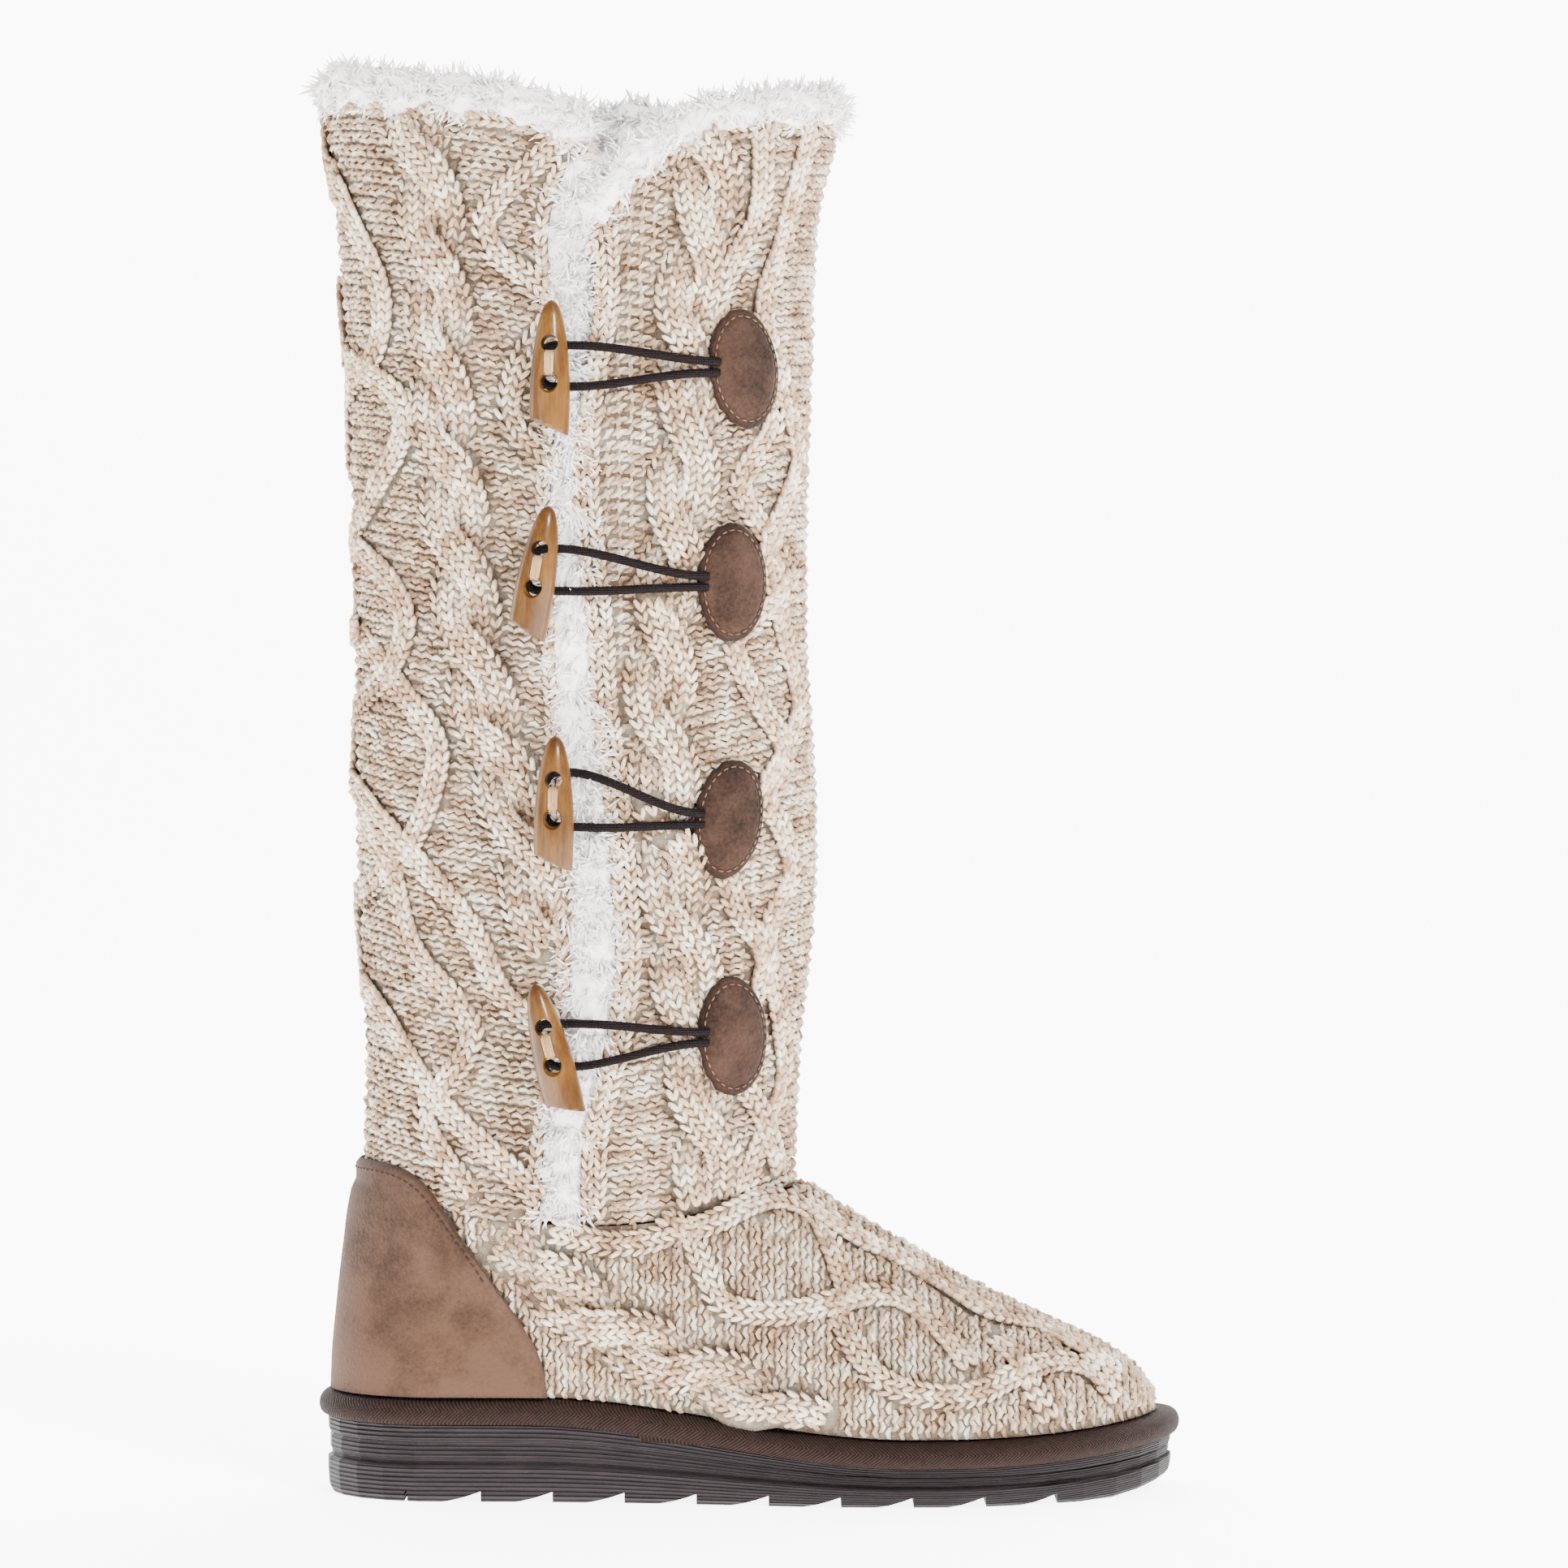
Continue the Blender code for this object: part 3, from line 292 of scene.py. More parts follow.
# %% [markdown]
# ## Materials
# The yarn is spun from cream, beige and grey-brown fibres with a thin gold thread, so its colour
# drifts along the strand, each stitch differs a little, and the gold shows as rare glints. An
# image of knit could be laid on, but stitches that are modelled need only the yarn's own colour
# and a painted shade. One number on every stitch gives its random tone, and the other darkens it
# towards brown as painted shade where it lies deep, where the light hardly comes.

# %% Yarn
# place on the ramp and colour, from the shaded fibres to the pale ones
YARN_COLOURS = (
    (0.00, (0.29, 0.163, 0.090)), (0.30, (0.50, 0.335, 0.210)),
    (0.58, (0.73, 0.575, 0.415)), (0.95, (0.97, 0.885, 0.745)),
)
# the brown that painted shade mixes into the yarn, and the gold thread's own colour
SHADE_COLOUR, GOLD = (0.22, 0.13, 0.08), (0.86, 0.60, 0.22)


def make_yarn(name, shade):
    yarn = Material(name, 0.9, Sheen_Weight=0.08, Specular_IOR_Level=0.15)
    place = yarn.coords()
    drift = yarn.noise(place, 110.0, 2.0)
    streak = yarn.noise(place, 520.0, 3.0, 0.6)
    tone = drift * 1.6 + streak * 1.0 + yarn.attribute("stitch") * 0.44 - 1.06
    stops = [(at, tuple(part * shade for part in colour)) for at, colour in YARN_COLOURS]
    glint = yarn.step(yarn.noise(place, 640.0, 1.0), 0.700, 0.725)
    # painted shade: stitches that lie deep are mixed towards a dark brown
    shaded = yarn.blend(yarn.attribute("deep") * 0.72, yarn.ramp(tone, *stops), SHADE_COLOUR)
    colour = yarn.blend(glint * 0.8, shaded, GOLD)
    fibre = yarn.noise(place, 1700.0, 2.0, 0.7)
    return yarn.finish(colour, fibre, 0.0008, roughness=0.92 - glint * 0.5, metallic=glint * 0.6)


# one yarn in three brightnesses; the darker two are painted shade for the lower ground and core
yarn_raised = make_yarn("yarn_raised", 1.0)
yarn_ground = make_yarn("yarn_ground", 0.93)
yarn_painted_shade = make_yarn("yarn_painted_shade", 0.26)
print("yarn nodes", len(yarn_painted_shade.node_tree.nodes))

# %% [markdown]
# Pile is white and matt, and a grey painted shade darkens each lock towards its root, where the
# locks part. Suede is brushed leather: a fine nap whose clouds are lighter or darker with the
# way that it was last stroked. Both could be grown as hairs, but that is far too much for a model
# that others use, so noise in two sizes and a fine bump stand for them. A rim attribute darkens
# the suede where its edge is pressed.


# %% Pile and suede
def make_pile():
    pile = Material("pile_white", 1.0, Sheen_Weight=0.3, Specular_IOR_Level=0.1)
    place = pile.coords()
    hair = pile.noise(place, 1500.0, 2.0)
    tone = pile.noise(place, 150.0, 3.0) * 0.6 + pile.attribute("stitch") * 0.3 + hair * 0.25
    stops = ((0.25, (0.87, 0.82, 0.80)), (0.60, (0.97, 0.93, 0.915)), (0.95, (1.0, 0.975, 0.965)))
    # painted shade: each lock turns grey towards its root
    colour = pile.blend(pile.attribute("deep") * 0.4, pile.ramp(tone, *stops), (0.66, 0.59, 0.565))
    return pile.finish(colour, hair, 0.0006)


def make_suede(name, dark, light, paler_below):
    suede = Material(name, 0.95, Sheen_Weight=0.06, Specular_IOR_Level=0.1)
    place = suede.coords()
    cloud = suede.noise(place, 60.0, 4.0, 0.55)
    nap = suede.noise(place, 800.0, 3.0, 0.7)
    low = 1 - suede.step(suede.parts(place)[2], 0.035, 0.105)
    tone = cloud * 1.5 + nap * 0.8 + low * paler_below - 0.70
    rim = suede.attribute("rim")
    colour = suede.blend(rim * 0.72, suede.ramp(tone, (0.15, dark), (0.85, light)),
                         tuple(part * 0.42 for part in dark))
    return suede.finish(colour, nap + cloud * 0.5, 0.0005)


pile_white = make_pile()
suede_heel = make_suede("suede_heel", (0.019, 0.009, 0.005), (0.072, 0.038, 0.0235), 0.36)
suede_patch = make_suede("suede_patch", (0.009, 0.0042, 0.0026), (0.052, 0.0265, 0.017), 0.0)
print("pile and suede", pile_white.name, suede_heel.name, suede_patch.name)

# %% [markdown]
# The tape is a herringbone twill: its diagonals change direction at the middle of its width. A
# sine wave over the UV map draws them, and the map is laid in metres along and across the tape,
# so they keep their pitch round the toe. The rubber is moulded with fine ribs that run with the
# sole's top. They follow its height curve in the shader, because as faces they would be too many.

# %% Tape and rubber
TAPE_MIDDLE, TWILL_PITCH, TAPE_THREAD = 0.0047, 0.00125, 0.00045
RUBBER_RIBS = 17


def make_tape():
    tape = Material("tape_brown", 0.8, Specular_IOR_Level=0.12)
    along_tape, across_tape, _ = tape.parts(tape.add("TexCoord", output="UV"))
    fold = (across_tape - TAPE_MIDDLE).math("ABSOLUTE")
    twill = ((along_tape + fold * 1.15) * (2 * math.pi / TWILL_PITCH)).math("SINE")
    thread = ((across_tape - along_tape * 0.1) * (2 * math.pi / TAPE_THREAD)).math("SINE")
    spot = tape.noise(tape.coords(), 400.0, 2.0)
    tone = twill * 0.30 + thread * 0.06 + spot * 0.5 + 0.25
    colour = tape.ramp(tone, (0.1, (0.005, 0.0025, 0.002)), (0.9, (0.034, 0.016, 0.012)))
    return tape.finish(colour, twill + thread * 0.3, 0.0003)


def make_rubber():
    """Rubber whose ribs count from 0 at the floor to 1 at the sole's top, all along its curve."""
    rubber = Material("rubber_black", 0.65, Specular_IOR_Level=0.2)
    place = rubber.coords()
    x, _, z = rubber.parts(place)
    share = (x + 0.0372) / 0.2750
    top = 0.0243 - rubber.step(share, 0.245, 0.682) * 0.0121
    lift = (share - 0.735).math("MAXIMUM", 0.0) / 0.265
    level = (z - lift * lift * 0.005) / (top - 0.0004)
    fine = (level * (2 * math.pi * RUBBER_RIBS)).math("SINE")
    broad = (level * (2 * math.pi * 5.2) + rubber.noise(place, 9.0) * 2).math("SINE")
    streak = rubber.noise(rubber.stretched(place, (0.12, 0.12, 1.0)), 900.0, 3.0)
    tone = fine * 0.16 + broad * 0.10 + streak * 0.6 + rubber.noise(place, 1200.0) * 0.25
    colour = rubber.ramp(tone, (0.15, (0.003, 0.002, 0.0022)), (0.85, (0.026, 0.018, 0.020)))
    return rubber.finish(colour, fine + streak, 0.0004)


tape_brown = make_tape()
rubber_black = make_rubber()
print("sole", tape_brown.name, rubber_black.name)

# %% [markdown]
# The toggles are turned hardwood under thick varnish: fine brown grain along the length and a
# warm uneven stain. Noise that is squeezed along one axis gives both, and a coat gives the shine.
# The loops are braided elastic, whose crossing strands are two sine waves multiplied, and the
# ties and seams are sewn with plain thread. None is thick enough to show a modelled strand.


# %% Wood, elastic and thread
def make_wood():
    wood = Material("wood_varnished", 0.35, Specular_IOR_Level=0.15, Coat_Weight=0.28,
                    Coat_Roughness=0.12)
    place = wood.coords()
    grain = wood.noise(wood.stretched(place, (1.0, 1.0, 0.07)), 1500.0, 4.0, 0.6)
    stain = wood.noise(wood.stretched(place, (1.0, 1.0, 0.4)), 170.0, 3.0)
    pore = wood.step(wood.noise(wood.stretched(place, (1.0, 1.0, 0.12)), 2600.0, 1.0), 0.62, 0.75)
    # rim darkens the wood towards the tip, and inside the bores as painted shade
    tone = grain * 0.45 + stain * 0.9 - wood.attribute("rim") * 0.35 - pore * 0.16 - 0.1
    colour = wood.ramp(tone, (0.15, (0.016, 0.0048, 0.0006)), (0.5, (0.066, 0.0245, 0.0032)),
                       (0.85, (0.140, 0.060, 0.0095)))
    return wood.finish(colour, grain, 0.00006)


def make_elastic():
    elastic = Material("elastic_braid", 0.55, Specular_IOR_Level=0.1)
    place = elastic.coords()
    x, _, z = elastic.parts(place)
    turns = 2 * math.pi / 0.0011
    one, other = ((x + z * 0.8) * turns).math("SINE"), ((x - z * 0.8) * turns).math("SINE")
    braid = one * other
    tone = braid * 0.22 + elastic.noise(place, 900.0) * 0.5 + 0.2
    colour = elastic.ramp(tone, (0.2, (0.002, 0.001, 0.0012)), (0.8, (0.012, 0.006, 0.0075)))
    return elastic.finish(colour, braid, 0.0003)


def make_thread(name, dark, light):
    thread = Material(name, 0.7, Specular_IOR_Level=0.2)
    place = thread.coords()
    ply = thread.noise(thread.stretched(place, (1.0, 1.0, 0.3)), 1800.0, 2.0)
    tone = ply * 0.7 + thread.attribute("stitch") * 0.3
    return thread.finish(thread.ramp(tone, (0.2, dark), (0.8, light)), ply, 0.0003)


wood_varnished = make_wood()
elastic_braid = make_elastic()
thread_beige = make_thread("thread_beige", (0.24, 0.13, 0.055), (0.46, 0.30, 0.15))
thread_tan = make_thread("thread_tan", (0.06, 0.031, 0.016), (0.145, 0.082, 0.047))
thread_brown = make_thread("thread_brown", (0.010, 0.005, 0.003), (0.026, 0.013, 0.008))
print("finishes in all", len(bpy.data.materials))

# %% [markdown]
# ## The boot's surfaces
# A boot's outline changes slowly from ring to ring, so a short table of rings and a smooth curve
# through them says all of it. A spline object could be sampled for that too, but a few lines of
# sums read a table at thousands of places at once, which the stitches need.


# %% Smooth tables
def along(table, column, share):
    """Smooth value of a table's column at shares of its first column."""
    table = np.asarray(table, float)
    keys, values = table[:, 0], table[:, column]
    share = np.asarray(share, float)
    last = len(keys) - 1
    i = np.clip(np.searchsorted(keys, share, side="right") - 1, 0, last - 1)
    before, after = np.maximum(i - 1, 0), np.minimum(i + 2, last)
    span = keys[i + 1] - keys[i]
    t = np.clip((share - keys[i]) / span, 0, 1)
    slope_a = (values[i + 1] - values[before]) / (keys[i + 1] - keys[before]) * span
    slope_b = (values[after] - values[i]) / (keys[after] - keys[i]) * span
    rise = values[i + 1] - values[i]
    square, cube = 3 * rise - 2 * slope_a - slope_b, slope_a + slope_b - 2 * rise
    return values[i] + slope_a * t + square * t**2 + cube * t**3


def ease(value, low, high):
    t = np.clip((np.asarray(value, float) - low) / (high - low), 0, 1)
    return t * t * (3 - 2 * t)


def mix(a, b, share):
    return a + (b - a) * share


def unit(vectors):
    return vectors / np.maximum(np.linalg.norm(vectors, axis=-1, keepdims=True), 1e-12)


def run_along(points):
    """Length run at each of a row of points."""
    return np.concatenate([[0], np.cumsum(np.linalg.norm(np.diff(points, axis=0), axis=1))])


# %% [markdown]
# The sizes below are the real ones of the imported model, in metres, so that what is made here lies
# on that model's skin. The tables are shares of these sizes. The shaft is a stack of ovals, and
# the foot a stack of outlines that turn from the sole's plan into the ankle's oval.

# %% Sizes in metres
SOLE_LENGTH, HEEL_BACK = 0.2750, 0.0372
BALL_WIDTH, HEEL_WIDTH, TOE_INSWING = 0.1030, 0.0710, 0.0100
HEEL_HEIGHT, BALL_HEIGHT, TOE_SPRING = 0.0243, 0.0122, 0.0050
PLATFORM_HEIGHT, PLATFORM_ROLL = 0.0085, 0.0016
UPPER_INSET, KNIT_WALL = 0.0062, 0.0032
SEAM_HEIGHT, INSTEP_HEIGHT = 0.0875, 0.0983
SHAFT_CENTRE_X, SHAFT_DEPTH, SHAFT_WIDTH = 0.0468, 0.1462, 0.0920
COLLAR_HEIGHT, LAPEL_DROP, OPENING_HALF = 0.4370, 0.0560, 0.0075
COUNTER_HEIGHT, COUNTER_REACH, COUNTER_FULLNESS = 0.0735, 0.0690, 2.9
TOGGLE_LENGTH, TOGGLE_RADIUS, TOGGLE_OUT = 0.0395, 0.0062, 0.0126
HOLE_SPACING, HOLE_RADIUS = 0.0119, 0.0027
PATCH_WIDTH, PATCH_HEIGHT, CREST = 0.0205, 0.0375, 0.0023
CORD_RADIUS, CORD_OUT = 0.00138, 0.0043
LAST_HEEL_X, LAST_TOE_X = UPPER_INSET - HEEL_BACK, SOLE_LENGTH - HEEL_BACK - UPPER_INSET
print("sole %.0f mm, collar %.0f mm high" % (SOLE_LENGTH * 1000, COLLAR_HEIGHT * 1000))

# %% [markdown]
# The leg widens towards its collar, which dips at the outer side into a V. The opening's two knit
# edges wave a little, because the knit isn't stretched there. Tables were chosen over formulas,
# as a hand-made edge follows none.

# %% Tables of the shaft
# rise, centre, depth, width
SHAFT_RINGS = (
    (0.000, -0.008, 0.936, 0.900), (0.050, -0.006, 0.936, 0.925), (0.130, 0.000, 0.944, 0.960),
    (0.220, 0.007, 0.975, 0.985), (0.310, 0.008, 0.998, 1.000), (0.400, 0.003, 0.996, 1.000),
    (0.500, -0.004, 0.980, 0.985), (0.600, -0.006, 0.980, 0.975), (0.680, -0.009, 0.995, 0.975),
    (0.770, -0.009, 1.012, 0.980), (0.860, -0.014, 1.032, 0.995), (0.925, -0.014, 1.060, 1.010),
    (0.970, -0.008, 1.100, 1.020), (1.000, -0.004, 1.112, 1.025),
)
# way round, drop of the collar's edge
COLLAR_EDGE = (
    (0.000, 1.000), (0.022, 0.640), (0.052, 0.370), (0.100, 0.170), (0.152, 0.085),
    (0.250, 0.015), (0.500, 0.000), (0.750, -0.095), (0.882, 0.005), (0.955, 0.090),
    (1.000, 0.210), (1.020, 0.270),
)
# rise, distance of each knit edge from the opening's middle in half widths
BACK_EDGE = (
    (0.00, -1.50), (0.08, -1.30), (0.16, -0.70), (0.23, -0.45), (0.31, -0.72), (0.38, -0.68),
    (0.46, -0.78), (0.55, -0.88), (0.66, -1.00), (0.74, -0.75), (0.81, -0.55), (0.89, -0.95),
    (0.94, -0.75), (0.98, -0.10), (1.00, 0.55),
)
FRONT_EDGE = (
    (0.00, 0.25), (0.09, 0.25), (0.18, 1.05), (0.25, 1.40), (0.34, 1.25), (0.43, 1.00),
    (0.51, 0.68), (0.61, 0.45), (0.74, 0.00), (0.81, 0.10), (0.91, 0.95), (1.00, 0.60),
)
print("tables", len(SHAFT_RINGS), "rings,", len(COLLAR_EDGE), "places on the collar")

# %% [markdown]
# The foot's rings give how far the heel and toe draw in, and how much of the sole's plan and of
# the ankle's oval each ring has. The fastenings are placed by shares of the shaft as well, so
# they keep their places if the boot grows.

# %% Tables of the foot and the fastenings
# rise, heel, toe, plan, oval, blend
FOOT_RINGS = (
    (0.000, 0.00, 0.000, 0.905, 1.126, 0.00), (0.095, 0.03, 0.023, 0.925, 1.150, 0.03),
    (0.180, 0.06, 0.058, 0.925, 1.150, 0.08), (0.280, 0.13, 0.130, 0.900, 1.120, 0.28),
    (0.400, 0.23, 0.274, 0.850, 1.057, 0.60), (0.510, 0.32, 0.416, 0.815, 1.014, 0.85),
    (0.615, 0.42, 0.553, 0.800, 0.995, 1.00), (0.715, 0.52, 0.660, 0.795, 0.990, 1.00),
    (0.815, 0.61, 0.777, 0.795, 0.990, 1.00), (0.915, 0.74, 0.886, 0.800, 0.995, 1.00),
    (0.980, 0.87, 0.944, 0.805, 1.000, 1.00), (1.000, 1.00, 1.000, 0.805, 1.000, 1.00),
)
# share of the sole's length, growth of its outer and inner half
PLAN = (
    (0.00, 0.00, 0.00), (0.18, 0.00, -0.04), (0.34, 0.16, -0.14), (0.48, 0.52, 0.10),
    (0.60, 0.88, 0.62), (0.70, 1.02, 0.98), (0.82, 0.98, 1.04), (1.00, 0.80, 0.88),
)
# toggle's x, z and lean, patch's x, z and lean, and how far the loop's sides part at the toggle
FASTENINGS = (
    (-0.099, 0.766, -1.0, 0.687, 0.767, 4.0, 1.08),
    (-0.146, 0.585, -10.0, 0.639, 0.575, -1.0, 1.10),
    (-0.082, 0.381, -1.0, 0.625, 0.363, -8.0, 1.41),
    (-0.099, 0.163, 14.0, 0.639, 0.169, 1.0, 1.12),
)
ANKLE_X = SHAFT_CENTRE_X + SHAFT_DEPTH * SHAFT_RINGS[0][1]
ANKLE_REACH = SHAFT_DEPTH / 2 * SHAFT_RINGS[0][2]
ANKLE_HALF = SHAFT_WIDTH / 2 * SHAFT_RINGS[0][3]
print("fastenings", len(FASTENINGS))


# %% [markdown]
# Each outline is a small function of one place or of many. From the side, the sole's top falls
# from the heel to the ball and springs up at the toe, and the seam at the ankle rises to its
# back and front. Functions rather than meshes are used, so any piece can ask for the skin at the
# very places that it needs.


# %% Outlines from the side
def outsole_top(x):
    share = (x + HEEL_BACK) / SOLE_LENGTH
    lift = np.maximum(share - 0.735, 0) / 0.265
    return mix(HEEL_HEIGHT, BALL_HEIGHT, ease(share, 0.245, 0.682)) + TOE_SPRING * lift**2


def feather_height(x):
    """Height of the line where the knit meets the platform."""
    return outsole_top(x) + PLATFORM_HEIGHT


def seam_height(x):
    return mix(SEAM_HEIGHT, INSTEP_HEIGHT, ((x - SHAFT_CENTRE_X) / ANKLE_REACH) ** 2)


def inswing(x):
    share = (x + HEEL_BACK) / SOLE_LENGTH
    return TOE_INSWING * (np.maximum(share - 0.48, 0) / 0.52) ** 2


print("platform %.0f mm high at the heel," % (feather_height(0.0) * 1000),
      "%.0f mm at the toe" % (feather_height(0.2) * 1000))


# %% [markdown]
# Seen from above, the sole is narrow at the heel and wide at the ball, and the foot follows it. An
# angle runs round it from the heel over the outer side to the toe, so one number names a place on
# any ring of the foot. The rings turn into the ankle's oval as they rise, where the shaft begins.


# %% Outlines from above
def plan_half(share, angle):
    """Half width of the sole's plan on the side that the angle names."""
    growth = np.where(np.sin(angle) > 0, along(PLAN, 1, share), along(PLAN, 2, share))
    heel = np.sqrt(np.maximum(1 - np.maximum(1 - share / 0.135, 0) ** 2, 0))
    toe = np.sqrt(np.maximum(1 - (np.maximum(share - 0.7, 0) / 0.3) ** 2.3, 0))
    return mix(HEEL_WIDTH, BALL_WIDTH, growth) / 2 * heel * toe


def sole_point(angle, inset):
    """X and Y of the sole's outline. Angle 0 is the heel, half pi the outer side, pi the toe."""
    share = (1 - np.cos(angle)) / 2
    x = mix(-HEEL_BACK + inset, SOLE_LENGTH - HEEL_BACK - inset, share)
    half = plan_half(share, angle) * (1 - 2 * inset / HEEL_WIDTH)
    return x, np.where(np.sin(angle) > 0, -1, 1) * half + inswing(x)


def foot_ends(rise):
    """X of the foot's heel and toe at a rise."""
    heel_x = mix(LAST_HEEL_X, ANKLE_X - ANKLE_REACH, along(FOOT_RINGS, 1, rise))
    return heel_x, mix(LAST_TOE_X, ANKLE_X + ANKLE_REACH, along(FOOT_RINGS, 2, rise))


def foot_point(angle, rise):
    share = (1 - np.cos(angle)) / 2
    x = mix(*foot_ends(rise), share)
    plan = plan_half(share, angle) * along(FOOT_RINGS, 3, rise)
    oval = ANKLE_HALF * np.abs(np.sin(angle)) * along(FOOT_RINGS, 4, rise)
    half = mix(plan, oval, along(FOOT_RINGS, 5, rise))
    y = np.where(np.sin(angle) > 0, -1, 1) * half + inswing(x)
    z = mix(feather_height(x), seam_height(np.minimum(x, ANKLE_X + ANKLE_REACH)), rise)
    return np.stack([x, y, z], -1)


def shaft_ring(rise):
    """Outline of the shaft at one rise and the length run along it."""
    centre = SHAFT_CENTRE_X + SHAFT_DEPTH * along(SHAFT_RINGS, 1, rise)
    reach = SHAFT_DEPTH / 2 * along(SHAFT_RINGS, 2, rise)
    half = SHAFT_WIDTH / 2 * along(SHAFT_RINGS, 3, rise)
    turn = np.linspace(0, 2 * math.pi, 361)
    points = np.column_stack([centre + reach * np.sin(turn), -half * np.cos(turn)])
    return points, run_along(points)


def counter_edge(x, inset=0.0):
    """Height of the heel counter's curved edge, or of a line drawn inside it."""
    reach = np.clip((x - LAST_HEEL_X) / (COUNTER_REACH - inset), 0, 1)
    share = (1 - reach**COUNTER_FULLNESS) ** (1 / COUNTER_FULLNESS)
    return feather_height(x) + (COUNTER_HEIGHT - inset) * share


print("ball %.0f mm wide" % (2000 * plan_half(0.7, np.array([1.0]))[0]))


# %% [markdown]
# Both skins are worked out once as grids of points. Anything in between is read off the grid, and
# a place seen in the side view is found on it by its x and z: the nearest point of the grid is
# moved by two steps along the surface. A ray cast on a mesh could find it too, but its faces
# would show as small steps in every cable.


# %% Skins
class Skin:
    """A grid of points with outward normals."""

    def __init__(self, rows, columns, points):
        self.rows, self.columns, self.points = rows, columns, points
        down, across = np.gradient(points, axis=0), np.gradient(points, axis=1)
        self.normals = unit(np.cross(across, down))

    def read(self, column, row, out=0.0):
        """Points and normals at arrays of places, moved outwards."""
        r = (row - self.rows[0]) / (self.rows[1] - self.rows[0])
        r = np.clip(r, 0, len(self.rows) - 1.001)
        c = (column - self.columns[0]) / (self.columns[1] - self.columns[0])
        c = np.clip(c, 0, len(self.columns) - 1.001)
        i, j = r.astype(int), c.astype(int)
        r, c = (r - i)[..., None], (c - j)[..., None]
        found = []
        for grid in (self.points, self.normals):
            low = mix(grid[i, j], grid[i, j + 1], c)
            found.append(mix(low, mix(grid[i + 1, j], grid[i + 1, j + 1], c), r))
        normal = unit(found[1])
        return found[0] + normal * np.asarray(out, float)[..., None], normal

    def find(self, x, z, low, high):
        """Columns and rows of the places between two columns that show at x and z."""
        first, last = np.searchsorted(self.columns, (low, high))
        grid = self.points[:, first:last]
        column, row = [], []
        for px, pz in zip(x, z):
            far = (grid[..., 0] - px) ** 2 + (grid[..., 2] - pz) ** 2 + (grid[..., 1] > 0.012)
            i, j = np.unravel_index(np.argmin(far), far.shape)
            column.append(self.columns[first + j])
            row.append(self.rows[i])
        column, row = np.array(column), np.array(row)
        cell, tier = self.columns[1] - self.columns[0], self.rows[1] - self.rows[0]
        for _ in range(2):
            point = self.read(column, row)[0]
            right = self.read(column + cell, row)[0] - point
            up = self.read(column, row + tier)[0] - point
            off_x, off_z = x - point[:, 0], z - point[:, 2]
            size = right[:, 0] * up[:, 2] - right[:, 2] * up[:, 0]
            size = np.where(np.abs(size) < 1e-8, 1e3, size)
            column = column + cell * np.clip((off_x * up[:, 2] - off_z * up[:, 0]) / size, -1, 1)
            row = row + tier * np.clip((off_z * right[:, 0] - off_x * right[:, 2]) / size, -1, 1)
        return column, row


# %% [markdown]
# The shaft's grid goes from the ankle seam to the collar, and a little more than once round, so
# that nothing breaks at its start. The foot's grid goes from the platform to the ankle seam. Both
# are much finer than a stitch, which keeps the stitches in even rows.

# %% Grids of the shaft and the foot
rises, ways = np.linspace(0, 1, 201), np.linspace(-0.05, 1.05, 441)
shaft_points, perimeters = [], []
for rise in rises:
    ring, length = shaft_ring(rise)
    way = (ways % 1.0) * length[-1]
    x, y = np.interp(way, length, ring[:, 0]), np.interp(way, length, ring[:, 1])
    rim = COLLAR_HEIGHT - LAPEL_DROP * along(COLLAR_EDGE, 1, ways)
    shaft_points.append(np.column_stack([x, y, mix(seam_height(x), rim, rise)]))
    perimeters.append(length[-1])
shaft = Skin(rises, ways, np.array(shaft_points))
angles, lifts = np.linspace(-0.1, 2 * math.pi + 0.1, 640), np.linspace(0, 1, 121)
foot = Skin(lifts, angles, foot_point(*np.meshgrid(angles, np.clip(lifts, 0.004, 0.996))))
FRONT, BACK, OUTSIDE = (-0.03, 0.30), (0.70, 1.03), (0.9, 3.05)


def girth(rise):
    return np.interp(rise, rises, perimeters)


def opening_edge(table, rise, base):
    """Way round at which a knit edge of the opening lies."""
    return base + OPENING_HALF * along(table, 1, rise) / girth(rise)


def side_place(x, z):
    """X and Z of a place that the fastenings give in shares."""
    return SHAFT_CENTRE_X + x * SHAFT_DEPTH / 2, mix(SEAM_HEIGHT, COLLAR_HEIGHT, z)


def side_skin(x, z, out=0.0):
    """Points and normals of the shaft's outer side at arrays of x and z."""
    front = x >= SHAFT_CENTRE_X - 0.001
    points, normals = np.zeros((len(x), 3)), np.zeros((len(x), 3))
    for part, span in ((front, FRONT), (~front, BACK)):
        if part.any():
            points[part], normals[part] = shaft.read(*shaft.find(x[part], z[part], *span))
    return points + normals * np.asarray(out)[..., None], normals


print("girth of the shaft %.0f mm" % (girth(0.5) * 1000))

# %% [markdown]
# ## Stitches
# A knit stitch shows as a V of two plump legs. A purl stitch shows as a small arched bead across
# the row. Each is a ball with few faces that is drawn out and bent, and a lock of pile is a cone
# that curls. Real knitting could be made from one endless thread, but nobody sees how the loops
# hang together, and so few faces allow tens of thousands of stitches.


# %% Prototypes
def as_arrays(bm, depth):
    """Points, faces and the painted shade at each point, from a measure of how deep it lies."""
    bmesh.ops.triangulate(bm, faces=bm.faces)
    bmesh.ops.recalc_face_normals(bm, faces=bm.faces)
    bm.verts.index_update()
    points = np.array([vert.co[:] for vert in bm.verts])
    faces = np.array([[vert.index for vert in face.verts] for face in bm.faces])
    bm.free()
    return points, faces, np.clip(depth(points), 0, 1)


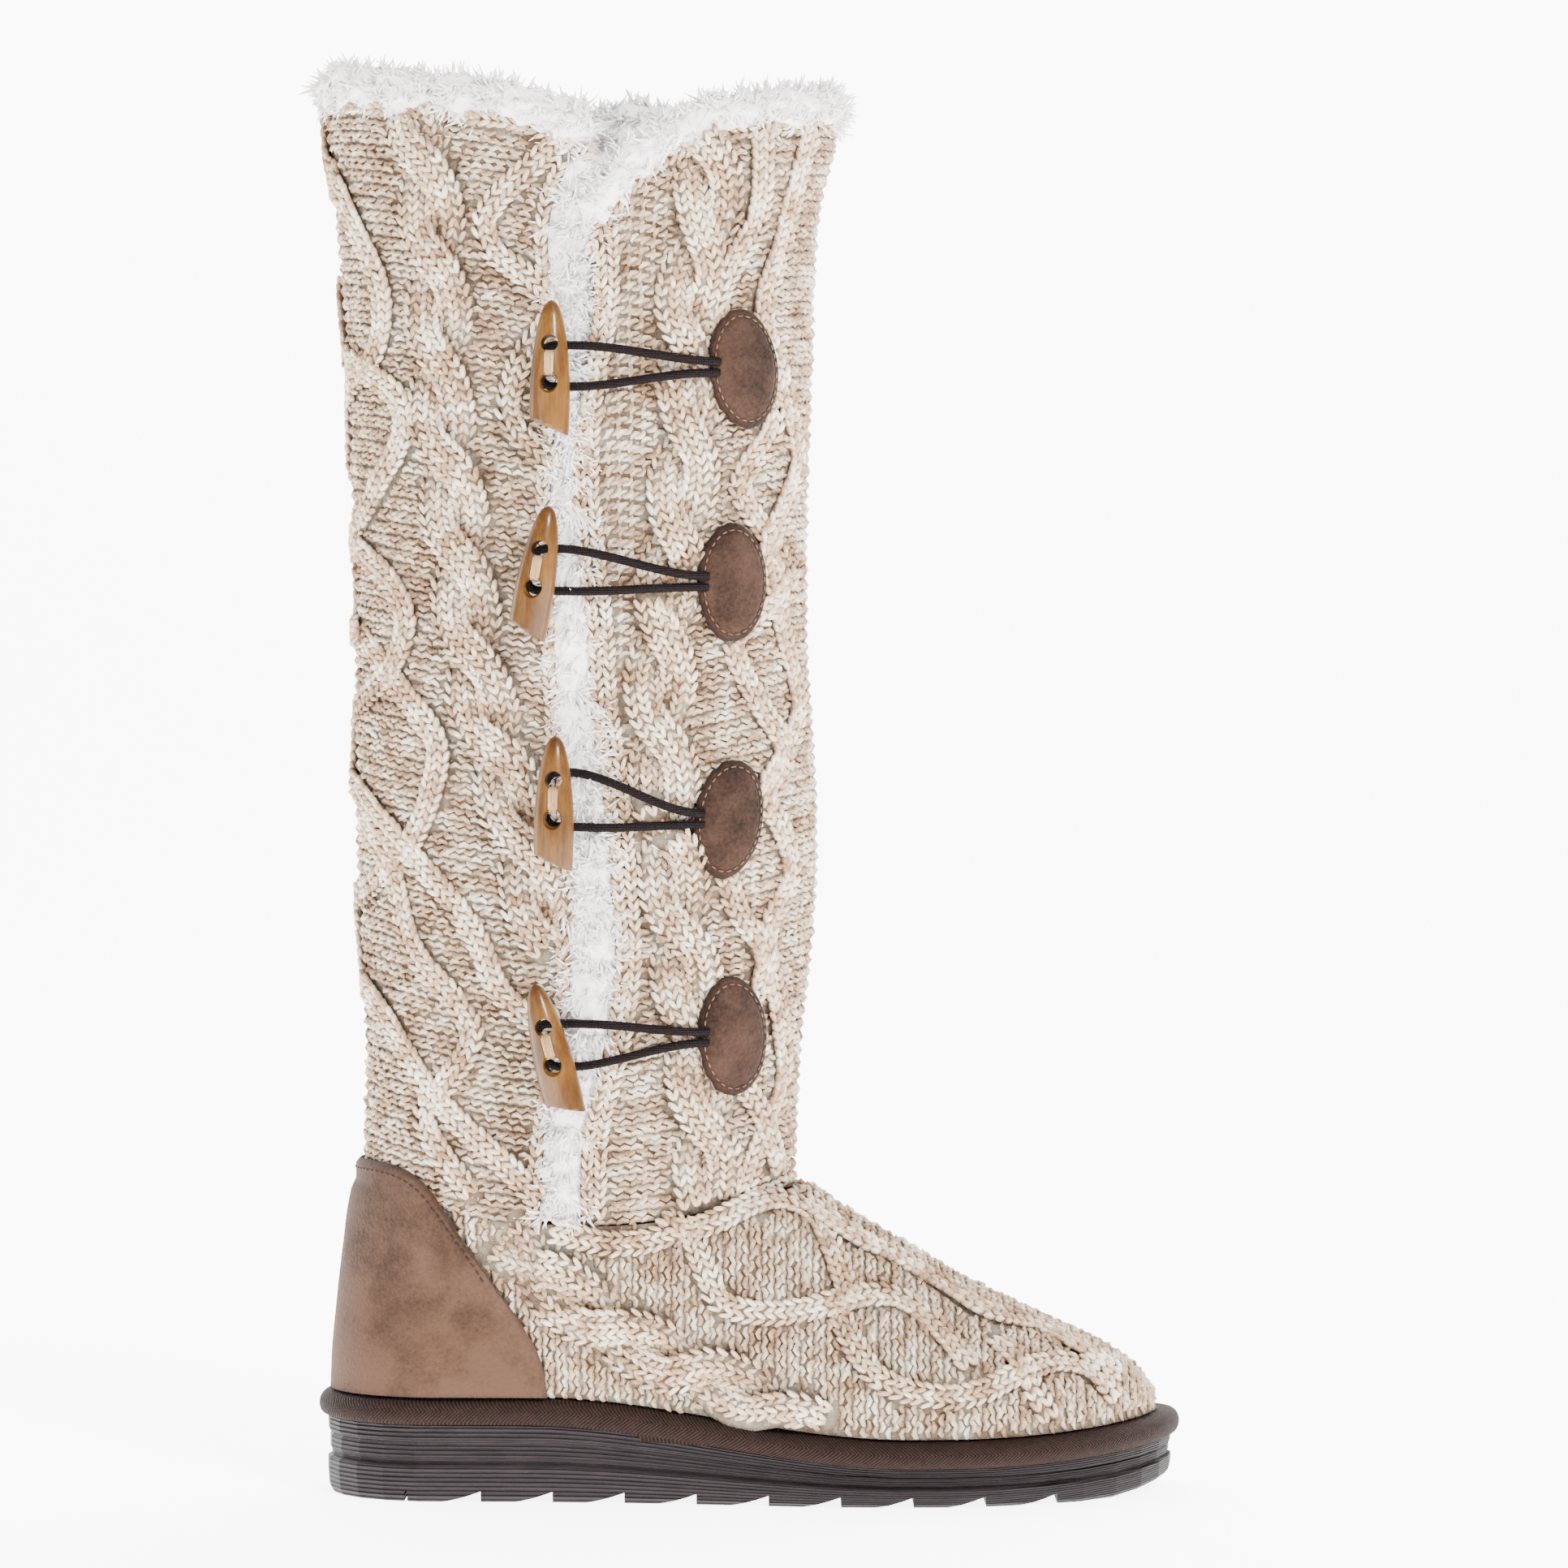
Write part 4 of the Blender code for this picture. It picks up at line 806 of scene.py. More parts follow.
def bead(around, rings, dip, arch=0.0, power=2, plump=0.7):
    """A plump bead along Z whose ends dip inwards, and which may arch sideways."""
    bm = bmesh.new()
    bmesh.ops.create_uvsphere(bm, u_segments=around, v_segments=rings, radius=1.0)
    turn = math.pi / 2 if around == 3 else math.pi / around
    bmesh.ops.rotate(bm, verts=bm.verts, matrix=Matrix.Rotation(turn, 3, "Z"))
    for vert in bm.verts:
        wide = max(math.hypot(vert.co.x, vert.co.y), 1e-6) ** (plump - 1)
        vert.co.x = vert.co.x * wide + arch * (0.4 - vert.co.z**2)
        vert.co.y = vert.co.y * wide - dip * abs(vert.co.z) ** power
    # painted shade of each point: more towards the underside
    return as_arrays(bm, lambda points: 0.30 - 0.55 * points[:, 1])


def lock(tip, curl):
    """A curled lock along Z, three-sided, thick near its root and thin at its tip."""
    bm = bmesh.new()
    bmesh.ops.create_cone(bm, cap_ends=True, segments=3, radius1=0.8, radius2=tip, depth=1.0)
    sides = [e for e in bm.edges if abs(e.verts[0].co.z - e.verts[1].co.z) > 0.5]
    bmesh.ops.subdivide_edges(bm, edges=sides, cuts=1, use_grid_fill=True)
    for vert in bm.verts:
        up = vert.co.z + 0.5
        swell = 1 + 0.6 * math.sin(math.pi * up)
        vert.co = (vert.co.x * swell, vert.co.y * swell + curl * up**2, up)
    # painted shade of each point: most at the root, none near the tip
    return as_arrays(bm, lambda points: 0.9 - 1.5 * points[:, 2])


LEG, PURL = bead(4, 4, 0.35), bead(3, 4, 0.45, 1.30)
THREAD = bead(6, 10, 6.0, 0.0, 6, 0.3)
LOCK = lock(0.15, 2.6)
print("triangles", len(LEG[1]), len(PURL[1]), len(THREAD[1]), len(LOCK[1]))


# %% [markdown]
# Thousands of copies of a prototype are joined into one mesh, each with its own axes, a random
# number for its colour and a painted shade for how deep it lies. Instances would be lighter, but a
# joined mesh can be exported and used anywhere, and the numbers stay on its points.


# %% Planting copies
def mark(mesh, name, values):
    """Gives each point of a mesh a number that a material can read."""
    mesh.attributes.new(name, "FLOAT", "POINT").data.foreach_set("value", values)


def plant(name, shape, places, axes, material, slot, seed, *nodes, deep=0.0):
    """Joins a copy of a shape at each place, with its X, Y and Z along the given scaled axes."""
    points, faces, depth = shape
    count, size = len(places), len(points)
    verts = places[:, None, :] + np.einsum("pk,nkj->npj", points, axes)
    indices = (faces[None] + (np.arange(count) * size)[:, None, None]).reshape(-1)
    mesh = bpy.data.meshes.new(name)
    mesh.vertices.add(count * size)
    mesh.vertices.foreach_set("co", verts.reshape(-1))
    mesh.loops.add(len(indices))
    mesh.loops.foreach_set("vertex_index", indices.astype(np.int32))
    mesh.polygons.add(len(indices) // 3)
    mesh.polygons.foreach_set("loop_start", np.arange(0, len(indices), 3, dtype=np.int32))
    mesh.update(calc_edges=True)
    mark(mesh, "stitch", np.repeat(np.random.default_rng(seed).uniform(0, 1, count), size))
    # painted shade: each copy's own shade and each point's depth in the prototype
    lit = (1 - np.broadcast_to(deep, count))[:, None] * (1 - depth)[None]
    mark(mesh, "deep", (1 - lit).reshape(-1))
    mesh.shade_smooth()
    print(name, count, "copies,", len(indices) // 3, "triangles")
    return add_piece(name, mesh, material, slot, *nodes)


def upright(axis, normal):
    """Right-handed axes with Z along axis and Y near the normal, a row for each place."""
    axis = unit(axis)
    across = unit(np.cross(normal, axis))
    return across, np.cross(axis, across), axis


def resampled(at, run, values):
    """A row of points or directions, read at other lengths along it."""
    return np.column_stack([np.interp(at, run, column) for column in values.T])


# %% [markdown]
# ## Sheets
# Cloth, suede, tape and fleece all start flat, so each is a grid that is moved into place by a
# function of its two shares and then given thickness. Where its ends meet, they are merged. A
# modifier could give the thickness too, but the operator leaves a finished mesh. The UV map keeps
# the two shares, so a pattern can follow the sheet.


# %% Sheets
def sheet(name, place, across, up, thickness=0.0, joined=False, rim=None):
    """Mesh of a grid laid by place(u, v), thickened inwards or joined to itself and closed."""
    bm = bmesh.new()
    bm.loops.layers.uv.new("shares")
    bmesh.ops.create_grid(bm, x_segments=across, y_segments=up, size=0.5, calc_uvs=True)
    shares = np.array([vert.co[:2] for vert in bm.verts]) + 0.5
    stitch = bm.verts.layers.float.new("stitch")
    edge = bm.verts.layers.float.new("rim")
    rims = rim(shares[:, 0], shares[:, 1]) if rim else np.zeros(len(shares))
    for vert, point, value in zip(bm.verts, place(shares[:, 0], shares[:, 1]), rims):
        vert.co = point
        vert[stitch] = 0.5
        vert[edge] = value
    if joined:
        bmesh.ops.remove_doubles(bm, verts=bm.verts, dist=1e-6)
    if thickness:
        bm.normal_update()
        bmesh.ops.solidify(bm, geom=bm.faces, thickness=thickness)
    open_edges = [e for e in bm.edges if e.is_boundary]
    if open_edges:
        bmesh.ops.holes_fill(bm, edges=open_edges, sides=0)
    return mesh_from(bm, name)


# %% [markdown]
# ## Cables
# On the real boot a cable is a few columns of stitches that change places. Where a patch, a cord
# or the heel counter presses on the knit, the cables lie flatter. That could be left to a cloth
# simulation, but a greatest height for each place does it at once and is the same each time.

# %% Room for the cables
# how much the knit rises again beside what presses on it
LOFT = 0.006


def room(points):
    """Greatest height that a band may have at each point."""
    x, z = points[:, 0], points[:, 2]
    most = np.full(len(points), 0.01)
    for toggle_x, toggle_z, _, patch_x, patch_z, _, spread in FASTENINGS:
        toggle_x, toggle_z = side_place(toggle_x, toggle_z)
        patch_x, patch_z = side_place(patch_x, patch_z)
        oval = np.hypot((x - patch_x) / PATCH_WIDTH, (z - patch_z) / PATCH_HEIGHT) * 2
        share = (x - patch_x) / (toggle_x - patch_x)
        middle = mix(patch_z, toggle_z, ease(share, 0, 1))
        apart = mix(CORD_RADIUS, spread * HOLE_SPACING / 2, ease(share, 0, 0.9))
        near = np.abs(np.abs(z - middle) - apart) + 0.05 * ((share < -0.1) | (share > 1.2))
        most = np.minimum(most, 0.0006 + LOFT * ease(oval, 1.02, 1.5))
        most = np.minimum(most, 0.0013 + LOFT * ease(near, 0.0022, 0.0065))
    most = np.where(points[:, 1] > 0, 0.01, most)
    by_counter = 0.0045 * ease(z - counter_edge(x), 0.0, 0.01)
    return np.where(x < LAST_HEEL_X + COUNTER_REACH, np.minimum(most, by_counter), most)


# %% [markdown]
# A band is a path over the skin with a height. Its stitches are laid at an even pitch, however
# its path bends, and each gets its own frame: forward along the band, sideways over it, and out
# of the skin. A curve with a bevel would give a smooth tube, and the stitches couldn't follow it.


# %% Laying a band
# length and width of a stitch
PITCH, WALE = 0.0031, 0.0039
bands = []


def lay_band(skin, column, row, height, wales, shift=None):
    """Lays a band along columns and rows, with a height and a sideways shift at each."""
    base, normal = skin.read(column, row)
    forward = unit(np.gradient(base, axis=0))
    side = unit(np.cross(normal, forward))
    if shift is not None:
        base = base + side * shift[:, None] - normal * (shift**2 / 0.09)[:, None]
    run = run_along(base)
    at = np.linspace(0, run[-1], max(int(run[-1] / PITCH), 3))

    base, normal = resampled(at, run, base), unit(resampled(at, run, normal))
    high = np.minimum(np.interp(at, run, height), room(base))
    centre = base + normal * high[:, None]
    # painted shade for the lower strand, where the upper one crosses over it
    under = 0.0 if shift is None else 0.55 * (1 - ease(high, 0.0002, 0.0022))
    forward = unit(np.gradient(centre, axis=0))
    side = unit(np.cross(normal, forward))
    bands.append({"base": base, "centre": centre, "normal": np.cross(forward, side),
                  "forward": forward, "side": side, "wales": wales, "under": under})


# %% [markdown]
# A rope cable is two bands of three stitches that cross again and again, always the same way. The
# lattice is made of bands of two stitches that wander and cross. Both are drawn by a few places
# in the side view, in millimetres, and a path that ends at the back is led on round it, so that
# no cable stops at the boot's outline. Drawing them by hand on the mesh would be hard to redo.


# %% Paths, ropes and lattices
def smooth_path(points, count=500):
    points = np.asarray(points, float)
    table = np.column_stack([run_along(points), points])
    shares = np.linspace(0, table[-1, 0], count)
    return np.column_stack([along(table, k + 1, shares) for k in range(points.shape[1])])


def traced(skin, points, span):
    """Path on a skin's outer side through places given in millimetres as x and z."""
    path = smooth_path(np.array(points) / 1000, 160)
    path = np.column_stack(skin.find(path[:, 0], path[:, 1], *span))
    if skin is shaft:
        for end, step in ((0, 12), (-1, -13)):
            if path[end, 0] < 0.785 and span is BACK:
                past = path[end] + [-0.016, math.copysign(0.034, path[end, 1] - path[step, 1])]
                path = np.vstack([past, path] if end == 0 else [path, past])
    return smooth_path(path)


def rope(skin, path, start, swing=0.0058, pitch=0.031):
    """Two bands of three stitches that cross every pitch, the rising one to the right."""
    run = run_along(skin.read(path[:, 0], path[:, 1])[0])
    turn = math.pi * (run / pitch + start)
    swap = np.cos(turn)
    for sign in (-1, 1):
        shift = sign * swing * swap * (1.35 - 0.35 * swap**2)
        high = 0.0023 - sign * 0.0023 * np.sin(turn)
        lay_band(skin, path[:, 0], path[:, 1], high, 3, shift)


def lattice(skin, path, waves, phase=0.0):
    high = 0.0014 + 0.0007 * np.sin(np.linspace(phase, phase + waves * math.pi, len(path)))
    lay_band(skin, path[:, 0], path[:, 1], high, 2)


# %% [markdown]
# The outer side has one rope behind the opening and one in front of it, with lattices towards the
# back and the shin. Its places are drawn from how such a boot looks from the side. The inner side
# isn't seen, so it has the same kinds of cable at even distances, drawn by sums.

# %% Cables of the shaft
ROPE_BACK = ((-5, 434), (-1, 420), (3, 380), (4, 344), (9, 306), (16, 255), (27, 219), (33, 196),
             (36, 176))
ROPE_FRONT = ((86, 426), (87, 402), (80, 369), (82, 344), (79, 318), (76, 293), (72, 255),
              (74, 217), (78, 180), (83, 145), (86, 113), (87, 96))
LATTICE_BACK = (
    ((-37, 434), (-25, 405), (-15, 380), (-17, 362), (-28, 349), (-34, 338)),
    ((-34, 374), (-26, 360), (-10, 347), (-8, 335), (-17, 318), (-24, 303), (-12, 289), (-7, 277),
     (-12, 262), (-24, 250), (-31, 240)),
    ((-32, 292), (-24, 275), (-8, 254), (3, 238), (1, 222), (-5, 208), (-16, 196), (-28, 186)),
    ((-31, 238), (-24, 225), (-8, 206), (6, 190), (16, 176), (22, 162), (32, 152), (40, 147)),
    ((-22, 214), (-13, 201), (-9, 185), (-3, 171), (8, 158), (14, 146), (6, 132), (-2, 122),
     (4, 110), (12, 98)),
    ((-29, 172), (-14, 152), (-2, 132), (10, 119), (24, 107), (34, 97)),
    ((40, 424), (30, 415), (18, 402), (20, 392), (30, 384), (39, 374)),
    ((37, 368), (30, 358), (25, 343), (29, 334), (40, 324)),
)
LATTICE_FRONT = (
    ((104, 432), (102, 403), (94, 387), (90, 375), (97, 360), (107, 340), (97, 319), (104, 305),
     (111, 290), (105, 280), (95, 270), (102, 252), (110, 235), (103, 218), (93, 202), (96, 186),
     (104, 171), (98, 150), (94, 138), (103, 122), (108, 104)),
    ((119, 432), (110, 396), (104, 375), (109, 355), (115, 330), (111, 315), (105, 300),
     (110, 275), (115, 250), (109, 232), (104, 222), (110, 210), (113, 196), (105, 178),
     (108, 155), (110, 130), (103, 112), (98, 98)),
)
rope(shaft, traced(shaft, ROPE_BACK, BACK), 0.05)
rope(shaft, traced(shaft, ROPE_FRONT, FRONT), 0.45)
for i, points in enumerate(LATTICE_BACK):
    lattice(shaft, traced(shaft, points, BACK), len(points) * 0.7, i * 1.6)
for i, points in enumerate(LATTICE_FRONT):
    lattice(shaft, traced(shaft, points, FRONT), len(points) * 0.5, i * math.pi)
outer_bands = len(bands)
down = np.linspace(0.975, 0.012, 500)
for way, phase in ((0.335, 0.3), (0.575, 0.8)):
    rope(shaft, np.column_stack([np.full(500, way), down]), phase)
for way in (0.455, 0.690):
    for sign in (-1, 1):
        turn = 2 * math.pi * down * 2.9
        wander = sign * 0.013 * (np.cos(turn) - np.cos(3 * turn) / 9) / girth(down)
        lay_band(shaft, way + wander, down, 0.0014 + 0.0010 * sign * np.sin(turn), 2)
print("bands on the outer side", outer_bands, "and on the inner side", len(bands) - outer_bands)

# %% [markdown]
# Along the opening and under the collar the knit ends in a smooth column of stitches, as knitters
# make it so that an edge doesn't roll. These are bands of one stitch that lie flat.

# %% Borders of the opening and the collar
flat = np.full(500, 0.0004)
for k in (0.0022, 0.0061):
    lay_band(shaft, opening_edge(FRONT_EDGE, down, 0) + k / girth(down), down, flat, 1)
lay_band(shaft, opening_edge(BACK_EDGE, down, 1) - 0.0022 / girth(down), down, flat, 1)
collar = np.linspace(opening_edge(FRONT_EDGE, 1.0, 0), opening_edge(BACK_EDGE, 1.0, 1), 900)
lay_band(shaft, collar, np.full(900, 0.9955), np.full(900, 0.0002), 1)
shaft_bands = len(bands)
print("bands on the shaft", shaft_bands)

# %% [markdown]
# The foot is cut from the same knit turned on its side, so its bands run towards the toe. The
# outer side's bands are drawn, and the inner side has the same ones, mirrored. Both could be
# drawn, but the inner side of such a foot has the same pattern.

# %% Cables of the foot
FOOT_ROPE = ((24, 82), (38, 70), (56, 56), (72, 47), (88, 40), (100, 34), (112, 28), (120, 23))
FOOT_LINES = (
    ((40, 86), (59, 82), (82, 86), (109, 94), (121, 88), (127, 76), (131, 64)),
    ((74, 90), (82, 84), (86, 74), (92, 63), (109, 60), (128, 63), (145, 64), (158, 56),
     (168, 44)),
    ((128, 60), (134, 48), (142, 39), (156, 35), (170, 35), (184, 40), (196, 43), (207, 40),
     (214, 32)),
    ((178, 50), (184, 44), (190, 34), (193, 28)),
    ((118, 92), (132, 82), (146, 76), (160, 67), (174, 58), (190, 54), (204, 46), (216, 38)),
)
for mirrored in (False, True):
    for i, points in enumerate((FOOT_ROPE,) + FOOT_LINES):
        path = traced(foot, points, OUTSIDE)
        if mirrored:
            path[:, 0] = 2 * math.pi - path[:, 0]
        if i == 0:
            rope(foot, path, 0.1, -0.0058 if mirrored else 0.0058, 0.029)
        else:
            lattice(foot, path, len(points) * 0.6, i * 1.3)
print("bands on the foot", len(bands) - shaft_bands)

# %% [markdown]
# Each stitch of a band is a V: two legs that lean apart and whose lower ends dip into the stitch
# below. Real yarn is never even, so each leg is moved, turned and sized a little at random. The
# legs are copies of one prototype, since all stitches of a knit are alike.

# %% Legs of the stitches
# distance of a leg from its stitch's middle, and its half width, depth and length
LEG_APART, LEG_SIZE = 0.00098, (0.00104, 0.00110, 0.00250)


def lay_legs(name, group, seed):
    places, axes, deep = [], [], []
    rng = np.random.default_rng(seed)
    for band in group:
        side, normal, forward = band["side"], band["normal"], band["forward"]
        wales = band["wales"]
        for k in range(wales):
            offset = (k - (wales - 1) / 2) * WALE
            dome = -0.0008 * (offset / WALE) ** 2
            # painted shade: darker where the strand lies under another, and towards the outer wales
            deep.extend([np.zeros(len(side)) + band["under"] + 0.12 * abs(offset) / WALE] * 2)
            for lean in (-1, 1):
                jitter = rng.normal(0, 0.00013, side.shape)
                places.append(band["centre"] + side * (offset + lean * LEG_APART)
                              + normal * dome + jitter)
                axis = -forward + side * (lean * 0.46) + normal * 0.20
                across, out, axis = upright(axis + rng.normal(0, 0.06, axis.shape), normal)
                size = rng.uniform(0.9, 1.1, (len(side), 1))
                axes.append(np.stack([across * LEG_SIZE[0] * size, out * LEG_SIZE[1] * size,
                                      axis * LEG_SIZE[2]], 1))
    places, axes, deep = np.concatenate(places), np.concatenate(axes), np.concatenate(deep)
    shown = places[:, 2] > feather_height(places[:, 0]) + 0.0024
    return plant(name, LEG, places[shown], axes[shown], yarn_raised, "knit", seed,
                 deep=deep[shown])


lay_legs("cables_outer", bands[:outer_bands], 21)
lay_legs("cables_inner", bands[outer_bands:shaft_bands], 22)
lay_legs("cables_foot", bands[shaft_bands:], 23)

# %% [markdown]
# Between the legs one looks into the band, not through it. A flat tube under each band closes
# it, in a far darker copy of the yarn, as painted shade between the legs. It is bridged from
# ring to ring, which follows the band's own frames, where a curve's bevel would twist in the
# sharp turns.

# %% Cores of the bands
bm = bmesh.new()
core_stitch = bm.verts.layers.float.new("stitch")
for band in bands:
    width = band["wales"] * WALE / 2 * 0.92
    rings = []
    for i in range(0, len(band["centre"]), 2):
        if band["centre"][i, 2] < feather_height(band["centre"][i, 0]) + 0.0035:
            continue
        ring = []
        for turn in np.linspace(0, 2 * math.pi, 6, endpoint=False):
            side, up = math.cos(turn) * width, math.sin(turn) * 0.0010 - 0.0011
            ring.append(bm.verts.new(band["centre"][i] + band["side"][i] * side
                                     + band["normal"][i] * up))
        rings.append([bm.edges.new((a, b)) for a, b in zip(ring, ring[1:] + ring[:1])])
    for low, high in zip(rings, rings[1:]):
        bmesh.ops.bridge_loops(bm, edges=low + high)
bmesh.ops.holes_fill(bm, edges=[e for e in bm.edges if e.is_boundary], sides=0)
for vert in bm.verts:
    vert[core_stitch] = 0.5
core = add_piece("cable_cores", mesh_from(bm, "cable_cores"), yarn_painted_shade, "knit")
print("cores", len(core.data.polygons), "faces")

# %% [markdown]
# ## Purl ground
# Between the cables the knit shows its purl side: rows of arched beads, set like bricks and
# turned up and down by turns. Beads under a cable would never be seen, so they are left out. The
# distance to the nearest cable could be measured to its mesh, but a tree of the bands' points
# answers much faster. Close to a cable the beads are darker, a painted shade from the cable.

# %% Beads
# half width, depth and length of a bead, and how far rows and beads lie apart
BEAD_SIZE, BEAD_ROW, BEAD_STEP = (0.00116, 0.00115, 0.00235), 0.00205, 0.0038
covered = kdtree.KDTree(sum(len(band["base"]) for band in bands))
reach = []
for band in bands:
    for point in band["base"]:
        covered.insert(point, len(reach))
        reach.append(band["wales"] * WALE / 2)
covered.balance()


def beside_bands(points):
    """How far each place lies from the nearest band's edge, as much as 6 mm."""
    free = np.full(len(points), 0.006)
    for i, point in enumerate(points):
        for _, index, distance in covered.find_range(point, 0.011):
            free[i] = min(free[i], distance - reach[index])
    return free


def lay_beads(name, skin, column, row, axis, seed):
    """Beads on a skin, each along its axis."""
    rng = np.random.default_rng(seed)
    place, normal = skin.read(column, row, 0.0001)
    free = beside_bands(place)
    keep = free > 0.0004
    axis, place, normal = axis[keep], place[keep], normal[keep]
    across, out, axis = upright(unit(axis) + rng.normal(0, 0.11, place.shape), normal)
    size = rng.uniform(0.88, 1.12, (len(place), 1))
    axes = np.stack([way * part * size for way, part in zip((across, out, axis), BEAD_SIZE)], 1)
    place = place + rng.normal(0, 0.00018, place.shape)
    # painted shade: the closer a bead lies to a cable's edge, the darker
    return plant(name, PURL, place, axes, yarn_ground, "knit", seed,
                 deep=0.6 - 0.6 * ease(free[keep], 0.0002, 0.0030))


print("places on the bands", len(reach))

# %% [markdown]
# On the shaft the rows run round the leg, from one knit edge of the opening to the other. The
# beads keep their width where the leg widens, and so each row has its own number of them, as if
# the knitter had added stitches. Scaling them with the leg would show as larger yarn.

# %% Beads of the shaft
columns, rows, flips = [], [], []
for k, z in enumerate(np.arange(0.001, 0.343, BEAD_ROW)):
    rise = z / 0.345
    step = BEAD_STEP / girth(rise)
    low = opening_edge(FRONT_EDGE, rise, 0) + 0.008 / girth(rise)
    high = opening_edge(BACK_EDGE, rise, 1) - 0.004 / girth(rise)
    line = np.arange(low - (low % step) + (k % 2) * step / 2, high, step)
    columns.append(line)
    rows.append(np.full(len(line), rise))
    flips.append(np.full(len(line), 1 - 2 * (k % 2)))
columns, rows, flips = (np.concatenate(part) for part in (columns, rows, flips))
ahead = shaft.read(columns + 0.004, rows)[0] - shaft.read(columns - 0.004, rows)[0]
lay_beads("ground_shaft", shaft, columns, rows, ahead * flips[:, None], 31)


# %% [markdown]
# On the foot the rows run up and down, because its knit is turned. Each row is a cut across the
# foot at one x, from the platform up to the ridge. The cuts lie evenly along the foot's lower
# edge, so that they come close together in x where the toe turns. Beads under the suede of the
# heel are left out. A row round the foot would be simpler, but the knit would run the wrong way.


# %% Beads of the foot
def share_at(x, rise):
    """Share of the foot's length that x is at each rise."""
    heel, toe = foot_ends(rise)
    return (x - heel) / (toe - heel)


ring = foot_point(np.linspace(0, math.pi, 721), 0.08)
run = run_along(ring)
sections = np.interp(np.arange(0.001, run[-1], BEAD_ROW), run, ring[:, 0])
columns, rows, axes = [], [], []
for k, x in enumerate(sections):
    rise = np.linspace(0.03, 0.99, 300)
    share = share_at(x, rise)
    if share.max() > 1:
        upto = np.argmax(share > 1) + 1
        ridge = np.interp(0.99999, share[:upto], rise[:upto])
        rise = mix(0.03, ridge, 1 - (1 - np.linspace(0, 1, 300)) ** 2)
        share = share_at(x, rise)
    rise, share = rise[(share > 0) & (share < 1)], share[(share > 0) & (share < 1)]
    angle = np.arccos(1 - 2 * share)
    if len(rise) < 4:
        continue
    points = foot_point(angle, rise)
    run, ahead = run_along(points), unit(np.gradient(points, axis=0)) * (1 - 2 * (k % 2))
    at = np.arange(0.0004 + (k % 2) * BEAD_STEP / 2, run[-1], BEAD_STEP)
    angle, rise = np.interp(at, run, angle), np.interp(at, run, rise)
    ahead = resampled(at, run, ahead)
    height = foot_point(angle, rise)[:, 2]
    shown = (angle > 1.06) | (height > counter_edge(foot_point(angle, 0.0)[:, 0]) - 0.002)
    for side, mirror in ((angle[shown], 1), (2 * math.pi - angle[shown], -1)):
        columns.append(side)
        rows.append(rise[shown])
        axes.append(ahead[shown] * [1, mirror, 1])
lay_beads("ground_foot", foot, np.concatenate(columns), np.concatenate(rows),
          np.concatenate(axes), 32)

# %% [markdown]
# Behind the stitches is the wall of the fabric, and the leg is lined with pile. The imported shaft
# and upper could stay visible instead, but their raised cables would come through between the
# stitches, so these walls stand for them and the imported ones are hidden. These walls stand for
# them and the imported ones stay in the physics.


# %% Walls
def shaft_place(out, low=0.0, high=1.0):
    def place(u, v):
        row = mix(low, high, v)
        way = mix(opening_edge(FRONT_EDGE, row, 0), opening_edge(BACK_EDGE, row, 1), u)
        return shaft.read(way, row, np.full(len(u), out))[0]

    return place


def foot_place(u, v):
    return foot.read(2 * math.pi * (u % 1.0), v, np.full(len(u), -0.0005))[0]


# the walls are in the same far darker copy of the yarn, as painted shade between the stitches
add_piece("shaft_wall", sheet("shaft_wall", shaft_place(-0.0005), 160, 70, KNIT_WALL - 0.0005),
          yarn_painted_shade, "knit", "shaft")
add_piece("foot_wall", sheet("foot_wall", foot_place, 180, 34, KNIT_WALL - 0.0005, True),
          yarn_painted_shade, "knit", "upper")
lining = shaft_place(-KNIT_WALL - 0.0002, 0.01, 0.995)
add_piece("lining", sheet("lining", lining, 120, 50, 0.0022), pile_white, "pile")
print("walls %.1f mm thick" % (KNIT_WALL * 1000))

# %% [markdown]
# ## Pile
# The collar and the strip in the opening are curled pile, like a lamb's fleece. Its tufts part
# and lean in clumps. A few sine waves in random directions give both the lumps of the mass and
# the ways that the tufts are combed. A noise texture with a modifier could do it, but the locks
# that are planted next have to lean the same way.


# %% Lumps and tufts
def lumps(points, size=0.0015):
    """Smooth seeded lumps at points."""
    rng = np.random.default_rng(3)
    total = np.zeros(len(points))
    for wave in (0.011, 0.007, 0.0045):
        for _ in range(3):
            turn = unit(rng.normal(0, 1, 3)) * 2 * math.pi / wave
            total += np.sin(points @ turn + rng.uniform(0, 6.28)) / 3
    return total * size


def tufts(points):
    """The ways that the pile's tufts are combed."""
    moved = [lumps(points + k * 0.05, 1.0) for k in (1, 2, 3)]
    return np.stack(moved, -1)


# %% [markdown]
# The collar's trim is a roll over the knit's top edge, closed at both of its ends. The strip in
# the opening is a crowned sheet whose sides go under the knit edges. Each is a lumpy sheet that
# gives the mass of the fleece, so that no knit shows through between the locks.


# %% Rolls
def collar_frames(u):
    """Rim points with the ways out and up from the knit edge."""
    way = mix(opening_edge(FRONT_EDGE, 1.0, 0), opening_edge(BACK_EDGE, 1.0, 1), u)
    row = np.ones(len(u))
    point, normal = shaft.read(way, row)
    ahead = unit(shaft.read(way + 0.004, row)[0] - shaft.read(way - 0.004, row)[0])
    up = unit(np.cross(normal, ahead))
    return point, normal, up


def collar_place(u, v):
    point, normal, up = collar_frames(u)
    turn = 2 * math.pi * v
    end = np.sqrt(np.clip(np.minimum(u, 1 - u) / 0.012, 0.02, 1))
    out = (0.0058 * np.cos(turn)) * end - 0.0034
    high = (0.0062 * np.sin(turn)) * end + 0.0040
    found = point + normal * out[:, None] + up * high[:, None]
    away = normal * np.cos(turn)[:, None] + up * np.sin(turn)[:, None]
    return found + away * lumps(found)[:, None]


